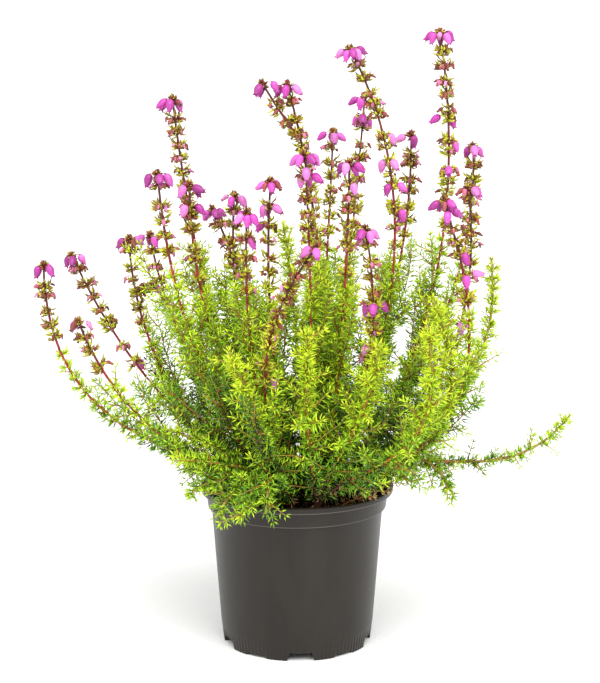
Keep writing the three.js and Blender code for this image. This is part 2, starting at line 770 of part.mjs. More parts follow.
const { leafy, spikes } = plan();
leafy.forEach(growLeafy);
spikes.forEach(growSpike);
const flowers = spikes.map((item, index) => {
  const stems = item.routes.map((places) => needledStem(item.owner, places, true));
  return named(item.owner, join(stems), finish(COLOURS.bell[index % COLOURS.bell.length], 0.5));
});
leafy.forEach(growShoots);
leafy.forEach((item, index) => {
  const colour = COLOURS.leaf[index % COLOURS.leaf.length];
  model.add(named(item.owner, leafyGeometry(item), finish(colour, 0.55)));
});
flowers.forEach((flower) => model.add(flower));

export default model;
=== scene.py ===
"""A bell heather in its nursery pot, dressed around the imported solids.

Metres, +Z up, the front towards -Y, and the origin in the middle of the pot's underside. Sizes in the
classes below are in millimetres, as a gardener or a mould maker would give them.
"""

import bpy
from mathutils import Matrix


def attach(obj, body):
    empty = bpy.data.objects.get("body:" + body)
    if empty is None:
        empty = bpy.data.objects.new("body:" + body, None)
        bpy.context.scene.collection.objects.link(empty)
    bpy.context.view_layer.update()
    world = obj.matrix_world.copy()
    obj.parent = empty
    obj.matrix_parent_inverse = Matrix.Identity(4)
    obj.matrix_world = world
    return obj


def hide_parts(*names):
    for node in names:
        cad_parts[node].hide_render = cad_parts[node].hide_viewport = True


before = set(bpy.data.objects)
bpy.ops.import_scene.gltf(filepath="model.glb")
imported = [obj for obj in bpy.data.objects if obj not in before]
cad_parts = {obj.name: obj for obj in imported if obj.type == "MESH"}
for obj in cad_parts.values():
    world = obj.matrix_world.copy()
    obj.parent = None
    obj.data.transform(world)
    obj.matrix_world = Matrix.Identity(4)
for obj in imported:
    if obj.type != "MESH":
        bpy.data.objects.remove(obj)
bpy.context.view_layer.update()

import logging
import math
from collections.abc import Sequence
from dataclasses import dataclass, field
from enum import Enum
from functools import lru_cache

import bmesh
import bpy
import numpy as np
from mathutils import Matrix, Vector, noise

MM = 0.001
GOLDEN_ANGLE = math.radians(137.508)
UP = np.array([0.0, 0.0, 1.0])
LOG = logging.getLogger("heather")


class Slot(Enum):
    """The finishes that the part's record names."""

    POT = "pot"
    COMPOST = "compost"
    LEAF = "leaf"
    BELL = "bell"


# Colour and nodes

Socket = bpy.types.NodeSocket


def linear(hex_value: str) -> tuple[float, float, float, float]:
    """Turn an sRGB hex value into linear colour.

    Args:
        hex_value: Six hex digits, with or without a leading #.

    Returns:
        Red, green and blue in linear light, and an alpha of 1.
    """
    digits = hex_value.lstrip("#")
    channels = [int(digits[i : i + 2], 16) / 255 for i in (0, 2, 4)]
    light = [c / 12.92 if c <= 0.04045 else ((c + 0.055) / 1.055) ** 2.4 for c in channels]
    return light[0], light[1], light[2], 1.0


def add_node(tree: bpy.types.NodeTree, kind: str, inputs: dict | None = None, **settings) -> bpy.types.Node:
    """Add one node with its settings, values and links.

    Args:
        tree: The node tree that it goes into.
        kind: The node's type name.
        inputs: Socket names or indices, each with a value or with an output socket to link.
        settings: Properties of the node. stops, a list of (place, hex value), fills a colour ramp.

    Returns:
        The new node.
    """
    node = tree.nodes.new(kind)
    stops = settings.pop("stops", None)
    for name, value in settings.items():
        setattr(node, name, value)
    if stops:
        elements = node.color_ramp.elements
        while len(elements) < len(stops):
            elements.new(1.0)
        for element, (place, hex_value) in zip(elements, stops):
            element.position = place
            element.color = linear(hex_value)
    for key, value in (inputs or {}).items():
        if isinstance(value, Socket):
            tree.links.new(value, node.inputs[key])
        else:
            node.inputs[key].default_value = value
    return node


class Wiring:
    """The nodes of one material, with the few kinds that its finish needs."""

    def __init__(self, tree: bpy.types.NodeTree) -> None:
        """Start with a shader that is linked to the material's output.

        Args:
            tree: The material's empty node tree.
        """
        self.tree = tree
        self.shader = add_node(tree, "ShaderNodeBsdfPrincipled")
        add_node(tree, "ShaderNodeOutputMaterial", {"Surface": self.shader.outputs["BSDF"]})

    def set(self, name: str, value: float | tuple[float, ...]) -> None:
        """Set one value on the shader."""
        self.shader.inputs[name].default_value = value

    def link(self, name: str, value: Socket) -> None:
        """Link one value to the shader."""
        self.tree.links.new(value, self.shader.inputs[name])

    def place(self) -> Socket:
        """The place on the piece, in metres from its origin."""
        return add_node(self.tree, "ShaderNodeTexCoord").outputs["Object"]

    def attribute(self, name: str) -> Socket:
        """One of the values that the mesh carries at its corners."""
        return add_node(self.tree, "ShaderNodeAttribute", attribute_name=name).outputs["Fac"]

    def noise(self, place: Socket, scale: float, detail: float) -> Socket:
        """An uneven pattern.

        Args:
            place: Where on the piece.
            scale: How often it repeats along one unit of the place.
            detail: How many finer layers it has.

        Returns:
            Its value, from 0 to 1.
        """
        inputs = {"Vector": place, "Scale": scale, "Detail": detail}
        return add_node(self.tree, "ShaderNodeTexNoise", inputs).outputs["Fac"]

    def stretch(
        self, value: Socket, target: tuple[float, float], source: tuple[float, float] = (0.0, 1.0)
    ) -> Socket:
        """A value mapped from one range to another, and held inside it.

        Args:
            value: The value.
            target: The range that comes out.
            source: The range that goes in.

        Returns:
            The mapped value.
        """
        inputs = {
            "Value": value, "From Min": source[0], "From Max": source[1],
            "To Min": target[0], "To Max": target[1],
        }
        return add_node(self.tree, "ShaderNodeMapRange", inputs).outputs[0]

    def calculate(self, operation: str, *values: float | Socket) -> Socket:
        """The result of one sum on values or numbers."""
        return add_node(self.tree, "ShaderNodeMath", dict(enumerate(values)), operation=operation).outputs[0]

    def ramp(self, value: Socket, stops: Sequence[tuple[float, str]]) -> Socket:
        """A colour from a ramp of (place, hex value)."""
        return add_node(self.tree, "ShaderNodeValToRGB", {"Fac": value}, stops=stops).outputs["Color"]

    def blend(self, share: Socket, colour: Socket, other: str) -> Socket:
        """A colour mixed with another.

        Args:
            share: The other colour's share.
            colour: The colour.
            other: The other colour's hex value.

        Returns:
            The mixed colour.
        """
        inputs = {"Factor": share, "A": colour, "B": linear(other)}
        return add_node(self.tree, "ShaderNodeMix", inputs, data_type="RGBA").outputs["Result"]

    def emboss(self, height: Socket, strength: float, depth: float) -> None:
        """Give the surface a relief.

        Args:
            height: Its height, from 0 to 1.
            strength: How strongly it shows.
            depth: How deep it is in millimetres.
        """
        inputs = {"Height": height, "Strength": strength, "Distance": depth * MM}
        self.link("Normal", add_node(self.tree, "ShaderNodeBump", inputs).outputs[0])


@dataclass(frozen=True)
class Finish:
    """A finish of one real material. Each kind below colours and roughens its own shader."""

    name: str

    def material(self) -> bpy.types.Material:
        """Make the material once and return it after that.

        Returns:
            The material, with its nodes.
        """
        known = bpy.data.materials.get(self.name)
        if known:
            return known
        material = bpy.data.materials.new(self.name)
        material.use_nodes = True
        material.node_tree.nodes.clear()
        self.dress(Wiring(material.node_tree))
        return material

    def dress(self, nodes: Wiring) -> None:
        """Link the finish's own nodes to its shader; each kind of finish has its own."""
        raise NotImplementedError


@dataclass(frozen=True)
class MouldedPolypropylene(Finish):
    """Injection-moulded recycled polypropylene: warm dark grey, satin, with faint flow marks.

    The eye sees a broad soft highlight, a slightly uneven grey and a fine moulded tooth. flow_marks, scuffs
    and tooth are how often these patterns repeat in a metre: the flow marks are stretched down the wall,
    and the tooth is drawn twice as coarse as it is, so that it shows. Pale lines are painted as highlights
    along the edges under the lip and the collar. collar, the heights of these painted highlights and how far
    they reach are in millimetres.
    """

    flow_marks: tuple[float, float, float] = (60.0, 60.0, 14.0)
    scuffs: float = 900.0
    tooth: float = 1600.0
    collar: tuple[float, float] = (75.5, 76.5)
    collar_ribs: int = 108
    highlit_edges: tuple[float, ...] = (75.75, 84.15)
    highlight_reach: tuple[float, float] = (0.2, 0.6)

    def dress(self, nodes: Wiring) -> None:
        """Link the pot's greys, its satin and its relief.

        Args:
            nodes: The material's nodes.
        """
        nodes.set("IOR", 1.49)
        nodes.set("Specular IOR Level", 0.32)
        place = nodes.place()
        axes = add_node(nodes.tree, "ShaderNodeSeparateXYZ", {"Vector": place}).outputs
        inputs = {"Vector": place, "Scale": self.flow_marks}
        flow = nodes.noise(add_node(nodes.tree, "ShaderNodeMapping", inputs).outputs[0], 1.0, 4.0)
        grey = nodes.ramp(flow, [(0.3, "1c1713"), (0.5, "221c17"), (0.72, "28221c")])
        nodes.link("Base Color", self.scuffed_and_highlit(nodes, place, axes["Z"], grey))
        nodes.link("Roughness", nodes.stretch(flow, (0.31, 0.43)))
        angle = nodes.calculate("ARCTAN2", axes["Y"], axes["X"])
        wave = nodes.calculate("SINE", nodes.calculate("MULTIPLY", angle, float(self.collar_ribs)))
        foot, full = self.collar
        on_collar = nodes.stretch(axes["Z"], (0.0, 0.25), (foot * MM, full * MM))
        ribs = nodes.calculate("MULTIPLY", wave, on_collar)
        nodes.emboss(nodes.calculate("ADD", ribs, nodes.noise(place, self.tooth, 2.0)), 0.22, 0.2)

    def scuffed_and_highlit(self, nodes: Wiring, place: Socket, height: Socket, grey: Socket) -> Socket:
        """Add pale scuffs, and paint pale highlights along the edges under the lip and the collar.

        Args:
            nodes: The material's nodes.
            place: Where on the pot.
            height: How high that is.
            grey: The plain colour, before scuffs and painted highlights.

        Returns:
            The scuffed colour with its painted edge highlights.
        """
        scuffed = nodes.stretch(nodes.noise(place, self.scuffs, 5.0), (0.0, 0.35), (0.66, 0.78))
        colour = nodes.blend(scuffed, grey, "504b44")
        near, far = self.highlight_reach
        # each pass paints a pale highlight band along one edge, under the lip or the collar
        for edge in self.highlit_edges:
            away = nodes.calculate("ABSOLUTE", nodes.calculate("SUBTRACT", height, edge * MM))
            edge_highlight = nodes.stretch(away, (0.45, 0.0), (near * MM, far * MM))
            colour = nodes.blend(edge_highlight, colour, "77736a")
        return colour


@dataclass(frozen=True)
class MoistCompost(Finish):
    """Moist peat compost: near black, matt and crumbly, with browner fibres and crumbs.

    crumb is the crumbs' size in millimetres.
    """

    crumb: float = 2.0

    def dress(self, nodes: Wiring) -> None:
        """Link the compost's browns and its crumbly relief.

        Args:
            nodes: The material's nodes.
        """
        nodes.set("Roughness", 0.93)
        nodes.set("Specular IOR Level", 0.3)
        crumbs = nodes.noise(nodes.place(), 1 / (self.crumb * MM), 5.0)
        inputs = {"Factor": 0.45, "A": crumbs, "B": nodes.attribute("tone")}
        mixed = add_node(nodes.tree, "ShaderNodeMix", inputs, data_type="FLOAT").outputs[0]
        browns = [(0.25, "150e0a"), (0.5, "241812"), (0.7, "36241a"), (0.95, "5a4231")]
        nodes.link("Base Color", nodes.ramp(mixed, browns))
        nodes.emboss(crumbs, 0.8, 0.8)


@dataclass(frozen=True)
class LivingSkin(Finish):
    """A plant's skin whose colour runs through a ramp with age, from 0 at its youngest to 1. On needles this
    value also carries painted shade low in the plant and painted light high up.

    tips is mixed in towards the far end of each leaf or petal, from tip_start on and by tip_share. glow is
    how far light goes through a petal, mottle the size of its unevenness in millimetres, and spread how
    much lighter or darker one copy is than the next.
    """

    stops: tuple[tuple[float, str], ...] = ()
    tips: str = "ffffff"
    tip_share: float = 0.0
    tip_start: float = 0.5
    roughness: float = 0.5
    glow: float = 0.0
    mottle: float = 0.8
    spread: float = 0.3

    def dress(self, nodes: Wiring) -> None:
        """Link the skin's ramp, its tips and its small unevenness.

        Args:
            nodes: The material's nodes.
        """
        nodes.set("Roughness", self.roughness)
        if self.glow:
            nodes.set("Subsurface Weight", self.glow)
            nodes.set("Subsurface Radius", (1.0, 0.8, 0.5))
            nodes.set("Subsurface Scale", 0.6 * MM)
        mottle = nodes.noise(nodes.place(), 1 / (self.mottle * MM), 3.0)
        wander = nodes.stretch(mottle, (-0.16, 0.16))
        ramp = nodes.ramp(nodes.calculate("ADD", nodes.attribute("age"), wander), self.stops)
        toward = nodes.stretch(nodes.attribute("along"), (0.0, self.tip_share), (self.tip_start, 1.0))
        tipped = nodes.blend(toward, ramp, self.tips)
        value = nodes.stretch(nodes.attribute("tone"), (1.0 - self.spread, 1.0 + self.spread))
        toned = add_node(nodes.tree, "ShaderNodeHueSaturation", {"Color": tipped, "Value": value})
        nodes.link("Base Color", toned.outputs["Color"])
        nodes.emboss(mottle, 0.3, 0.1)


@dataclass(frozen=True)
class StudioPaper(Finish):
    """Seamless studio background paper: matt and nearly white, with the faintest tooth of some 2.5 mm."""

    tooth: float = 2.5

    def dress(self, nodes: Wiring) -> None:
        """Link the paper's pale grey and its tooth.

        Args:
            nodes: The material's nodes.
        """
        nodes.set("Roughness", 0.9)
        tooth = nodes.noise(nodes.place(), 1 / (self.tooth * MM), 2.0)
        nodes.link("Base Color", nodes.ramp(tooth, [(0.3, "f7f7f6"), (0.7, "fbfbfa")]))


# Living needles are waxy: lime at the shoot tips, deeper green further down, with yellower points. They are
# also painted darker as shade low in the plant and lighter high up.
NEEDLE = LivingSkin(
    "heather_needle",
    stops=((0.0, "dcec2a"), (0.28, "b6dc1c"), (0.58, "649e11"), (0.92, "1a3c08")),
    tips="cedc34", tip_share=0.18, roughness=0.42, mottle=1.2, spread=0.34,
)
# Dead needles are dry, tan and matt.
DRY_NEEDLE = LivingSkin(
    "dry_needle",
    stops=((0.0, "bd9a62"), (0.5, "966f42"), (1.0, "68492d")),
    tips="ccb07e", tip_share=0.4, roughness=0.8, mottle=0.7,
)
# Bark is green-brown on young shoots, then orange-brown, crimson on flowering stems and dark at the root.
BARK = LivingSkin(
    "heather_bark",
    stops=(
        (0.0, "8f9c33"), (0.25, "b07a34"), (0.5, "ae5222"), (0.7, "98202c"), (0.84, "54281b"),
        (1.0, "3a2217"),
    ),
    roughness=0.5, mottle=1.4, spread=0.2,
)
# Living bells are waxy magenta, paler by the calyx and deeper at the pinched mouth.
PETAL = LivingSkin(
    "bell_petal",
    stops=((0.0, "e488d0"), (0.4, "d352bb"), (0.75, "b9389f"), (1.0, "932b7b")),
    tips="8a2470", tip_share=0.5, tip_start=0.72, roughness=0.4, glow=0.15, mottle=1.5, spread=0.22,
)
# Calyx leaves are small, dark maroon to olive and a little glossy.
CALYX = LivingSkin(
    "bell_calyx",
    stops=((0.0, "948236"), (0.3, "8d4a28"), (0.65, "762a28"), (1.0, "4a161d")),
    tips="8a4a3c", tip_share=0.4, roughness=0.45, mottle=0.9,
)
# Spent bells dry from dusty pink to brown paper.
SPENT = LivingSkin(
    "spent_bell",
    stops=((0.0, "dc8cc4"), (0.28, "c66a88"), (0.58, "9a4a3c"), (1.0, "5c3122")),
    tips="6f4534", tip_share=0.5, roughness=0.75, mottle=0.8,
)
# Leaves in the flower spikes are yellower than those below, with rusty points.
SPIKE_LEAF = LivingSkin(
    "spike_leaf",
    stops=((0.0, "dade38"), (0.42, "bec42a"), (0.72, "9c8228"), (1.0, "864428")),
    tips="b08a3c", tip_share=0.4, roughness=0.45, mottle=1.0,
)
POT_PLASTIC = MouldedPolypropylene("pot_polypropylene")
PEAT = MoistCompost("moist_peat")
PAPER = StudioPaper("studio_paper")


# Small shapes, made once each and pressed many times

# Corners of a stamp, which is one unit long, become one if they are nearer than this
WELD = 1e-5


@dataclass(frozen=True)
class Stamp:
    """A small closed shape.

    It holds its corners, the corners of its faces in turn, the faces' sizes, and how far along the shape
    each corner lies.
    """

    corners: np.ndarray
    loops: np.ndarray
    sizes: np.ndarray
    along: np.ndarray

    @classmethod
    def cut(cls, bm: bmesh.types.BMesh) -> "Stamp":
        """Take the shape out of a bmesh and free it.

        Args:
            bm: The shape, one unit long, from its base at z = 0 to its tip.

        Returns:
            The stamp.
        """
        bmesh.ops.recalc_face_normals(bm, faces=bm.faces)
        bm.verts.index_update()
        corners = np.array([vert.co for vert in bm.verts])
        loops = np.array([vert.index for face in bm.faces for vert in face.verts])
        sizes = np.array([len(face.verts) for face in bm.faces])
        bm.free()
        low, high = corners[:, 2].min(), corners[:, 2].max()
        return cls(corners, loops, sizes, (corners[:, 2] - low) / (high - low))


def needle_stamp(base: float, belly: float, waist: float) -> Stamp:
    """A three-sided needle that swells to its belly, bows a little and ends in a point.

    Args:
        base: Its radius where it starts, or 0 for a point.
        belly: Its greatest radius.
        waist: How far along it the belly is.

    Returns:
        The stamp, of ten triangles, or of six where it starts in a point.
    """
    bow = 0.55
    bm = bmesh.new()
    bmesh.ops.create_cone(bm, cap_ends=True, segments=3, radius1=base, radius2=belly, depth=waist)
    bmesh.ops.translate(bm, verts=bm.verts, vec=(0, 0, waist / 2))
    bmesh.ops.remove_doubles(bm, verts=bm.verts, dist=WELD)
    upper = [vert for vert in bm.verts if vert.co.z > waist / 2]
    top = max(bm.faces, key=lambda face: face.calc_center_median().z)
    point = bmesh.ops.poke(bm, faces=[top])["verts"]
    bmesh.ops.translate(bm, verts=upper, vec=(0, -bow, 0))
    bmesh.ops.translate(bm, verts=point, vec=(0, 0, 1 - waist))
    return Stamp.cut(bm)


def spun(profile: Sequence[tuple[float, float]], steps: int, weld: float) -> bmesh.types.BMesh:
    """Spin a closed profile about Z.

    Args:
        profile: (radius, height) from the axis to the axis.
        steps: The number of sides.
        weld: Corners nearer than this become one.

    Returns:
        The closed shape, faces out.
    """
    bm = bmesh.new()
    verts = [bm.verts.new((radius, 0, height)) for radius, height in profile]
    edges = [bm.edges.new(pair) for pair in zip(verts, verts[1:])]
    bmesh.ops.spin(
        bm, geom=verts + edges, cent=(0, 0, 0), axis=(0, 0, 1), dvec=(0, 0, 0),
        angle=2 * math.pi, steps=steps, use_merge=True,
    )
    bmesh.ops.remove_doubles(bm, verts=bm.verts, dist=weld)
    bmesh.ops.recalc_face_normals(bm, faces=bm.faces)
    return bm


def turned_stamp(profile: Sequence[tuple[float, float]], steps: int, lobes: float = 0.0) -> Stamp:
    """A body of revolution about Z, with four lobes at its far rim if it is a bell.

    Args:
        profile: (radius, height) from the axis to the axis.
        steps: How many sides it has.
        lobes: How far the lobes stand out.

    Returns:
        The stamp.
    """
    bm = spun(profile, steps, WELD)
    rim = max(vert.co.z for vert in bm.verts) - 0.06
    for vert in bm.verts:
        if vert.co.z > rim and lobes:
            swell = math.cos(4 * math.atan2(vert.co.y, vert.co.x))
            vert.co.x *= 1 + lobes * swell
            vert.co.y *= 1 + lobes * swell
            vert.co.z += 0.25 * lobes * swell
    return Stamp.cut(bm)


@lru_cache(maxsize=None)
def sleeve_stamp(rings: int, sides: int) -> Stamp:
    """A closed cylinder of radius 1 and length 1, with evenly spaced rings."""
    walls = [(1.0, ring / (rings - 1)) for ring in range(rings)]
    return turned_stamp([(0, 0), *walls, (0, 1)], sides)


def crumb_stamp() -> Stamp:
    """A small uneven lump of twenty faces.

    Returns:
        The stamp.
    """
    bm = bmesh.new()
    bmesh.ops.create_icosphere(bm, subdivisions=1, radius=0.5)
    for vert in bm.verts:
        vert.co *= 1 + 0.35 * math.sin(7 * vert.co.x + 11 * vert.co.y + 5 * vert.co.z)
    return Stamp.cut(bm)


NEEDLE_SHAPE = needle_stamp(base=0.28, belly=0.56, waist=0.5)
# A plainer needle, for the many that are older and lie deeper in the plant
SPINDLE_SHAPE = needle_stamp(base=0.0, belly=0.64, waist=0.4)
# An urn: round shoulders, a full belly, a pinched throat and a small flared rim, hollow inside the rim
BELL_SHAPE = turned_stamp(
    [
        (0, 0), (0.13, 0.01), (0.24, 0.08), (0.3, 0.2), (0.325, 0.36), (0.31, 0.52), (0.255, 0.7),
        (0.185, 0.85), (0.155, 0.93), (0.2, 1.0), (0.165, 0.985), (0.12, 0.93), (0.12, 0.86), (0, 0.84),
    ],
    steps=12, lobes=0.35,
)
SPENT_SHAPE = turned_stamp(
    [(0, 0), (0.16, 0.04), (0.27, 0.22), (0.25, 0.5), (0.15, 0.82), (0.2, 1.0), (0.1, 0.94), (0, 0.88)],
    steps=7,
)
BUD_SHAPE = turned_stamp([(0, 0), (0.2, 0.12), (0.3, 0.42), (0.2, 0.78), (0, 1.0)], steps=6)
CRUMB_SHAPE = crumb_stamp()


# Lines that grow


def unit(vectors: np.ndarray) -> np.ndarray:
    """Scale each vector to a length of 1."""
    return vectors / np.maximum(np.linalg.norm(vectors, axis=-1, keepdims=True), 1e-12)


def outward(headings: np.ndarray, angles: np.ndarray) -> np.ndarray:
    """Directions square to each heading, turned about it.

    Args:
        headings: Unit vectors along a stem, one for each direction wanted.
        angles: Turns about the stem in radians.

    Returns:
        Unit vectors.
    """
    headings = np.atleast_2d(headings)
    steep = np.abs(headings[:, 1:2]) > 0.9
    across = unit(np.cross(np.where(steep, [[1.0, 0.0, 0.0]], [[0.0, 1.0, 0.0]]), headings))
    other = np.cross(headings, across)
    angles = np.atleast_1d(angles)[:, None]
    return np.cos(angles) * across + np.sin(angles) * other


class Route:
    """A smooth line with its length along it."""

    SAMPLES = 96

    def __init__(self, points: np.ndarray) -> None:
        """Keep the line's points and measure it.

        Args:
            points: The line's points in order.
        """
        self.points = points
        steps = np.linalg.norm(np.diff(points, axis=0), axis=1)
        self.reach = np.concatenate([[0.0], np.cumsum(steps)])
        self.length = float(self.reach[-1])
        self.ways = unit(np.gradient(points, self.reach, axis=0))

    @classmethod
    def bend(cls, *controls: Sequence[float]) -> "Route":
        """A Bezier line.

        Args:
            controls: Three or four control points.

        Returns:
            The route.
        """
        share = np.linspace(0, 1, cls.SAMPLES)[:, None]
        points = [np.asarray(control, float)[None, :] for control in controls]
        while len(points) > 1:
            points = [a * (1 - share) + b * share for a, b in zip(points, points[1:])]
        return cls(points[0])

    def at(self, lengths: np.ndarray) -> np.ndarray:
        """The points at these lengths along the line."""
        return np.stack([np.interp(lengths, self.reach, self.points[:, i]) for i in range(3)], axis=-1)

    def heading(self, lengths: np.ndarray) -> np.ndarray:
        """The way the line heads at these lengths."""
        return unit(np.stack([np.interp(lengths, self.reach, self.ways[:, i]) for i in range(3)], axis=-1))

    def stand(self, length: float) -> tuple[np.ndarray, np.ndarray]:
        """The point at one length along the line, and the way the line heads there."""
        return self.at(np.array([length]))[0], self.heading(np.array([length]))[0]


# The pot's own outline, which the plant keeps clear of: (height, outer radius, inner radius)
POT_OUTLINE = np.array(
    [
        (0.0, 40.3, 38.9), (12.0, 41.7, 40.3), (75.6, 46.6, 45.2), (76.0, 48.6, 47.2), (83.8, 49.6, 48.2),
        (84.2, 52.5, 49.0), (87.4, 52.5, 50.4),
    ]
) * MM
SOIL_TOP = 78.0 * MM
SOIL_CREST = 79.6 * MM


def clear_of_pot(points: np.ndarray, margin: float = 0.4 * MM) -> np.ndarray:
    """Which points lie outside the pot's wall and the compost.

    Args:
        points: Points, with their coordinates on the last axis.
        margin: How far they stay away.

    Returns:
        True for each point that is clear.
    """
    radius, height = np.hypot(points[..., 0], points[..., 1]), points[..., 2]
    outer = np.interp(height, POT_OUTLINE[:, 0], POT_OUTLINE[:, 1]) + margin
    inner = np.interp(height, POT_OUTLINE[:, 0], POT_OUTLINE[:, 2]) - margin
    above = height > POT_OUTLINE[-1, 0] + margin
    return above | (radius > outer) | ((radius < inner) & (height > SOIL_CREST + margin))


def frames_for(
    directions: np.ndarray, uppers: np.ndarray, widths: np.ndarray, depths: np.ndarray, lengths: np.ndarray
) -> np.ndarray:
    """Matrices that lay a stamp along directions.

    Args:
        directions: Where each copy points.
        uppers: What each copy's upper side faces, roughly.
        widths: Each copy's scale across.
        depths: Each copy's scale from its lower to its upper side.
        lengths: Each copy's scale along.

    Returns:
        One 3 by 3 matrix for each copy.
    """
    ahead = unit(directions)
    across = unit(np.cross(uppers + 1e-4, ahead))
    above = np.cross(ahead, across)
    scales = np.broadcast_arrays(widths, depths, lengths)
    return np.stack([axis * scale[..., None] for axis, scale in zip((across, above, ahead), scales)], axis=-1)


@dataclass
class Patch:
    """Corners and faces of one kind that wait to be joined into a piece."""

    corners: np.ndarray
    loops: np.ndarray
    sizes: np.ndarray
    skin: int
    tone: np.ndarray
    age: np.ndarray
    along: np.ndarray


class Growth:
    """Everything that grows into one piece: tubes along routes, and pressed stamps."""

    def __init__(self, name: str, slot: Slot, skins: Sequence[Finish]) -> None:
        """Start a piece.

        Args:
            name: The piece's name.
            slot: The finish that the record names for it. It is not used.
            skins: Its finishes, in the order of its material slots.
        """
        self.name = name
        self.slot = slot
        self.skins = list(skins)
        self.patches: list[Patch] = []

    def press(
        self, stamp: Stamp, skin: Finish, bases: np.ndarray, frames: np.ndarray,
        tone: np.ndarray, age: np.ndarray,
    ) -> None:
        """Press a stamp many times.

        Args:
            stamp: The shape.
            skin: Its finish.
            bases: Where each copy's base lies.
            frames: Each copy's matrix.
            tone: Each copy's lightness, from 0 to 1.
            age: Each copy's age, from 0 to 1.
        """
        count, corners = len(bases), len(stamp.corners)
        if not count:
            return
        placed = np.einsum("nij,kj->nki", frames, stamp.corners) + bases[:, None, :]
        loops = stamp.loops[None, :] + corners * np.arange(count)[:, None]
        self.patches.append(Patch(
            placed.reshape(-1, 3), loops.ravel(), np.tile(stamp.sizes, count), self.skins.index(skin),
            np.repeat(np.broadcast_to(tone, count), corners), np.repeat(np.broadcast_to(age, count), corners),
            np.tile(stamp.along, count),
        ))

    def tube(
        self, points: np.ndarray, radii: np.ndarray, ages: np.ndarray, skin: Finish, tone: float, sides: int
    ) -> None:
        """Lay a closed tube along points.

        Args:
            points: The tube's middle line.
            radii: Its radius at each point.
            ages: Its age at each point.
            skin: Its finish.
            tone: Its lightness.
            sides: How many sides it has.
        """
        stamp = sleeve_stamp(len(points), sides)
        ring = np.rint(stamp.along * (len(points) - 1)).astype(int)
        ways = unit(np.gradient(points, axis=0))
        aside = np.eye(3)[np.argmin(np.abs(ways).max(axis=0))]
        across = unit(np.cross(aside, ways))
        other = np.cross(ways, across)
        round_it = stamp.corners[:, :1] * across[ring] + stamp.corners[:, 1:2] * other[ring]
        self.patches.append(Patch(
            points[ring] + radii[ring, None] * round_it, stamp.loops, stamp.sizes, self.skins.index(skin),
            np.full(len(ring), tone), ages[ring], np.zeros(len(ring)),
        ))

    def finish(self, nodes: Sequence[str]) -> bpy.types.Object:
        """Join everything into one mesh, dress it and give it to the frame.

        Args:
            nodes: The solids that the piece stands for.

        Returns:
            The finished piece.
        """
        starts = np.cumsum([0] + [len(patch.corners) for patch in self.patches])
        loops = np.concatenate([patch.loops + start for patch, start in zip(self.patches, starts)])
        sizes = np.concatenate([patch.sizes for patch in self.patches])
        skins = np.concatenate([np.full(len(patch.sizes), patch.skin) for patch in self.patches])
        mesh = bpy.data.meshes.new(self.name)
        mesh.vertices.add(int(starts[-1]))
        mesh.vertices.foreach_set("co", np.concatenate([patch.corners for patch in self.patches]).ravel())
        mesh.loops.add(len(loops))
        mesh.loops.foreach_set("vertex_index", loops.astype(np.int32))
        mesh.polygons.add(len(sizes))
        mesh.polygons.foreach_set("loop_start", np.concatenate([[0], np.cumsum(sizes)[:-1]]).astype(np.int32))
        mesh.polygons.foreach_set("material_index", skins.astype(np.int32))
        mesh.polygons.foreach_set("use_smooth", np.ones(len(sizes), bool))
        mesh.update(calc_edges=True)
        mesh.validate()
        for name in ("tone", "age", "along"):
            values = np.concatenate([getattr(patch, name) for patch in self.patches])
            mesh.attributes.new(name, "FLOAT", "POINT").data.foreach_set("value", values.astype(np.float32))
        return hand_over(mesh, self.skins, nodes)


def hand_over(
    mesh: bpy.types.Mesh, finishes: Sequence[Finish], nodes: Sequence[str]
) -> bpy.types.Object:
    """Make a mesh a piece of the part.

    Args:
        mesh: The piece's mesh, in place.
        finishes: Its finishes, in the order of its material slots.
        nodes: The solids that it stands for.

    Returns:
        The piece.
    """
    for finish in finishes:
        mesh.materials.append(finish.material())
    piece = bpy.data.objects.new(mesh.name, mesh)
    bpy.context.scene.collection.objects.link(piece)
    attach(piece, "root")
    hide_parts(*nodes)
    LOG.info("%s: %d faces for %s", piece.name, len(mesh.polygons), ", ".join(nodes))
    return piece


# The plant


@dataclass(frozen=True)
class StemPlan:
    """One stem in millimetres: where it roots, bends and ends, and what it flowers with.

    spike is the length of its flower spike, head the bells at the tip, and lower the bells further
    down, as pairs of distance below the tip and number. A fork is a second head: its place, how far
    below the tip it branches off, and its number of bells. faded is the share of bells past their best,
    bushy the share of their full length that its side shoots reach, and vigour its needles' share. bare
    is the share of the leafy part, from the root up, that carries no shoots. withered gives it a dry tip.
    rise is how high the stem stands before it bends.
    """

    root: tuple[float, float]
    elbow: tuple[float, float, float]
    tip: tuple[float, float, float]
    rise: float = 26.0
    spike: float = 0.0
    head: int = 0
    lower: tuple[tuple[float, int], ...] = ()
    fork: tuple[float, float, float, float, int] | None = None
    faded: float = 0.1
    bushy: float = 1.0
    vigour: float = 1.0
    bare: float = 0.06
    withered: bool = False

    STRAIGHT = 3.0
    LEAN = 0.12
    DEPTH = 9.0

    def route(self) -> Route:
        """Draw the stem's line.

        Returns:
            The line, from the top of the stem's straight foot to its tip.
        """
        (x, y), (bend_x, bend_y, _) = self.root, self.elbow
        lift = (x + self.LEAN * (bend_x - x), y + self.LEAN * (bend_y - y), SOIL_TOP / MM + self.rise)
        start = (x, y, SOIL_TOP / MM + self.STRAIGHT)
        return Route.bend(*(np.array(point) * MM for point in (start, lift, self.elbow, self.tip)))

    def foot(self) -> np.ndarray:
        """The lowest point of the straight foot, down in the compost."""
        return np.array([*self.root, SOIL_TOP / MM - self.DEPTH]) * MM


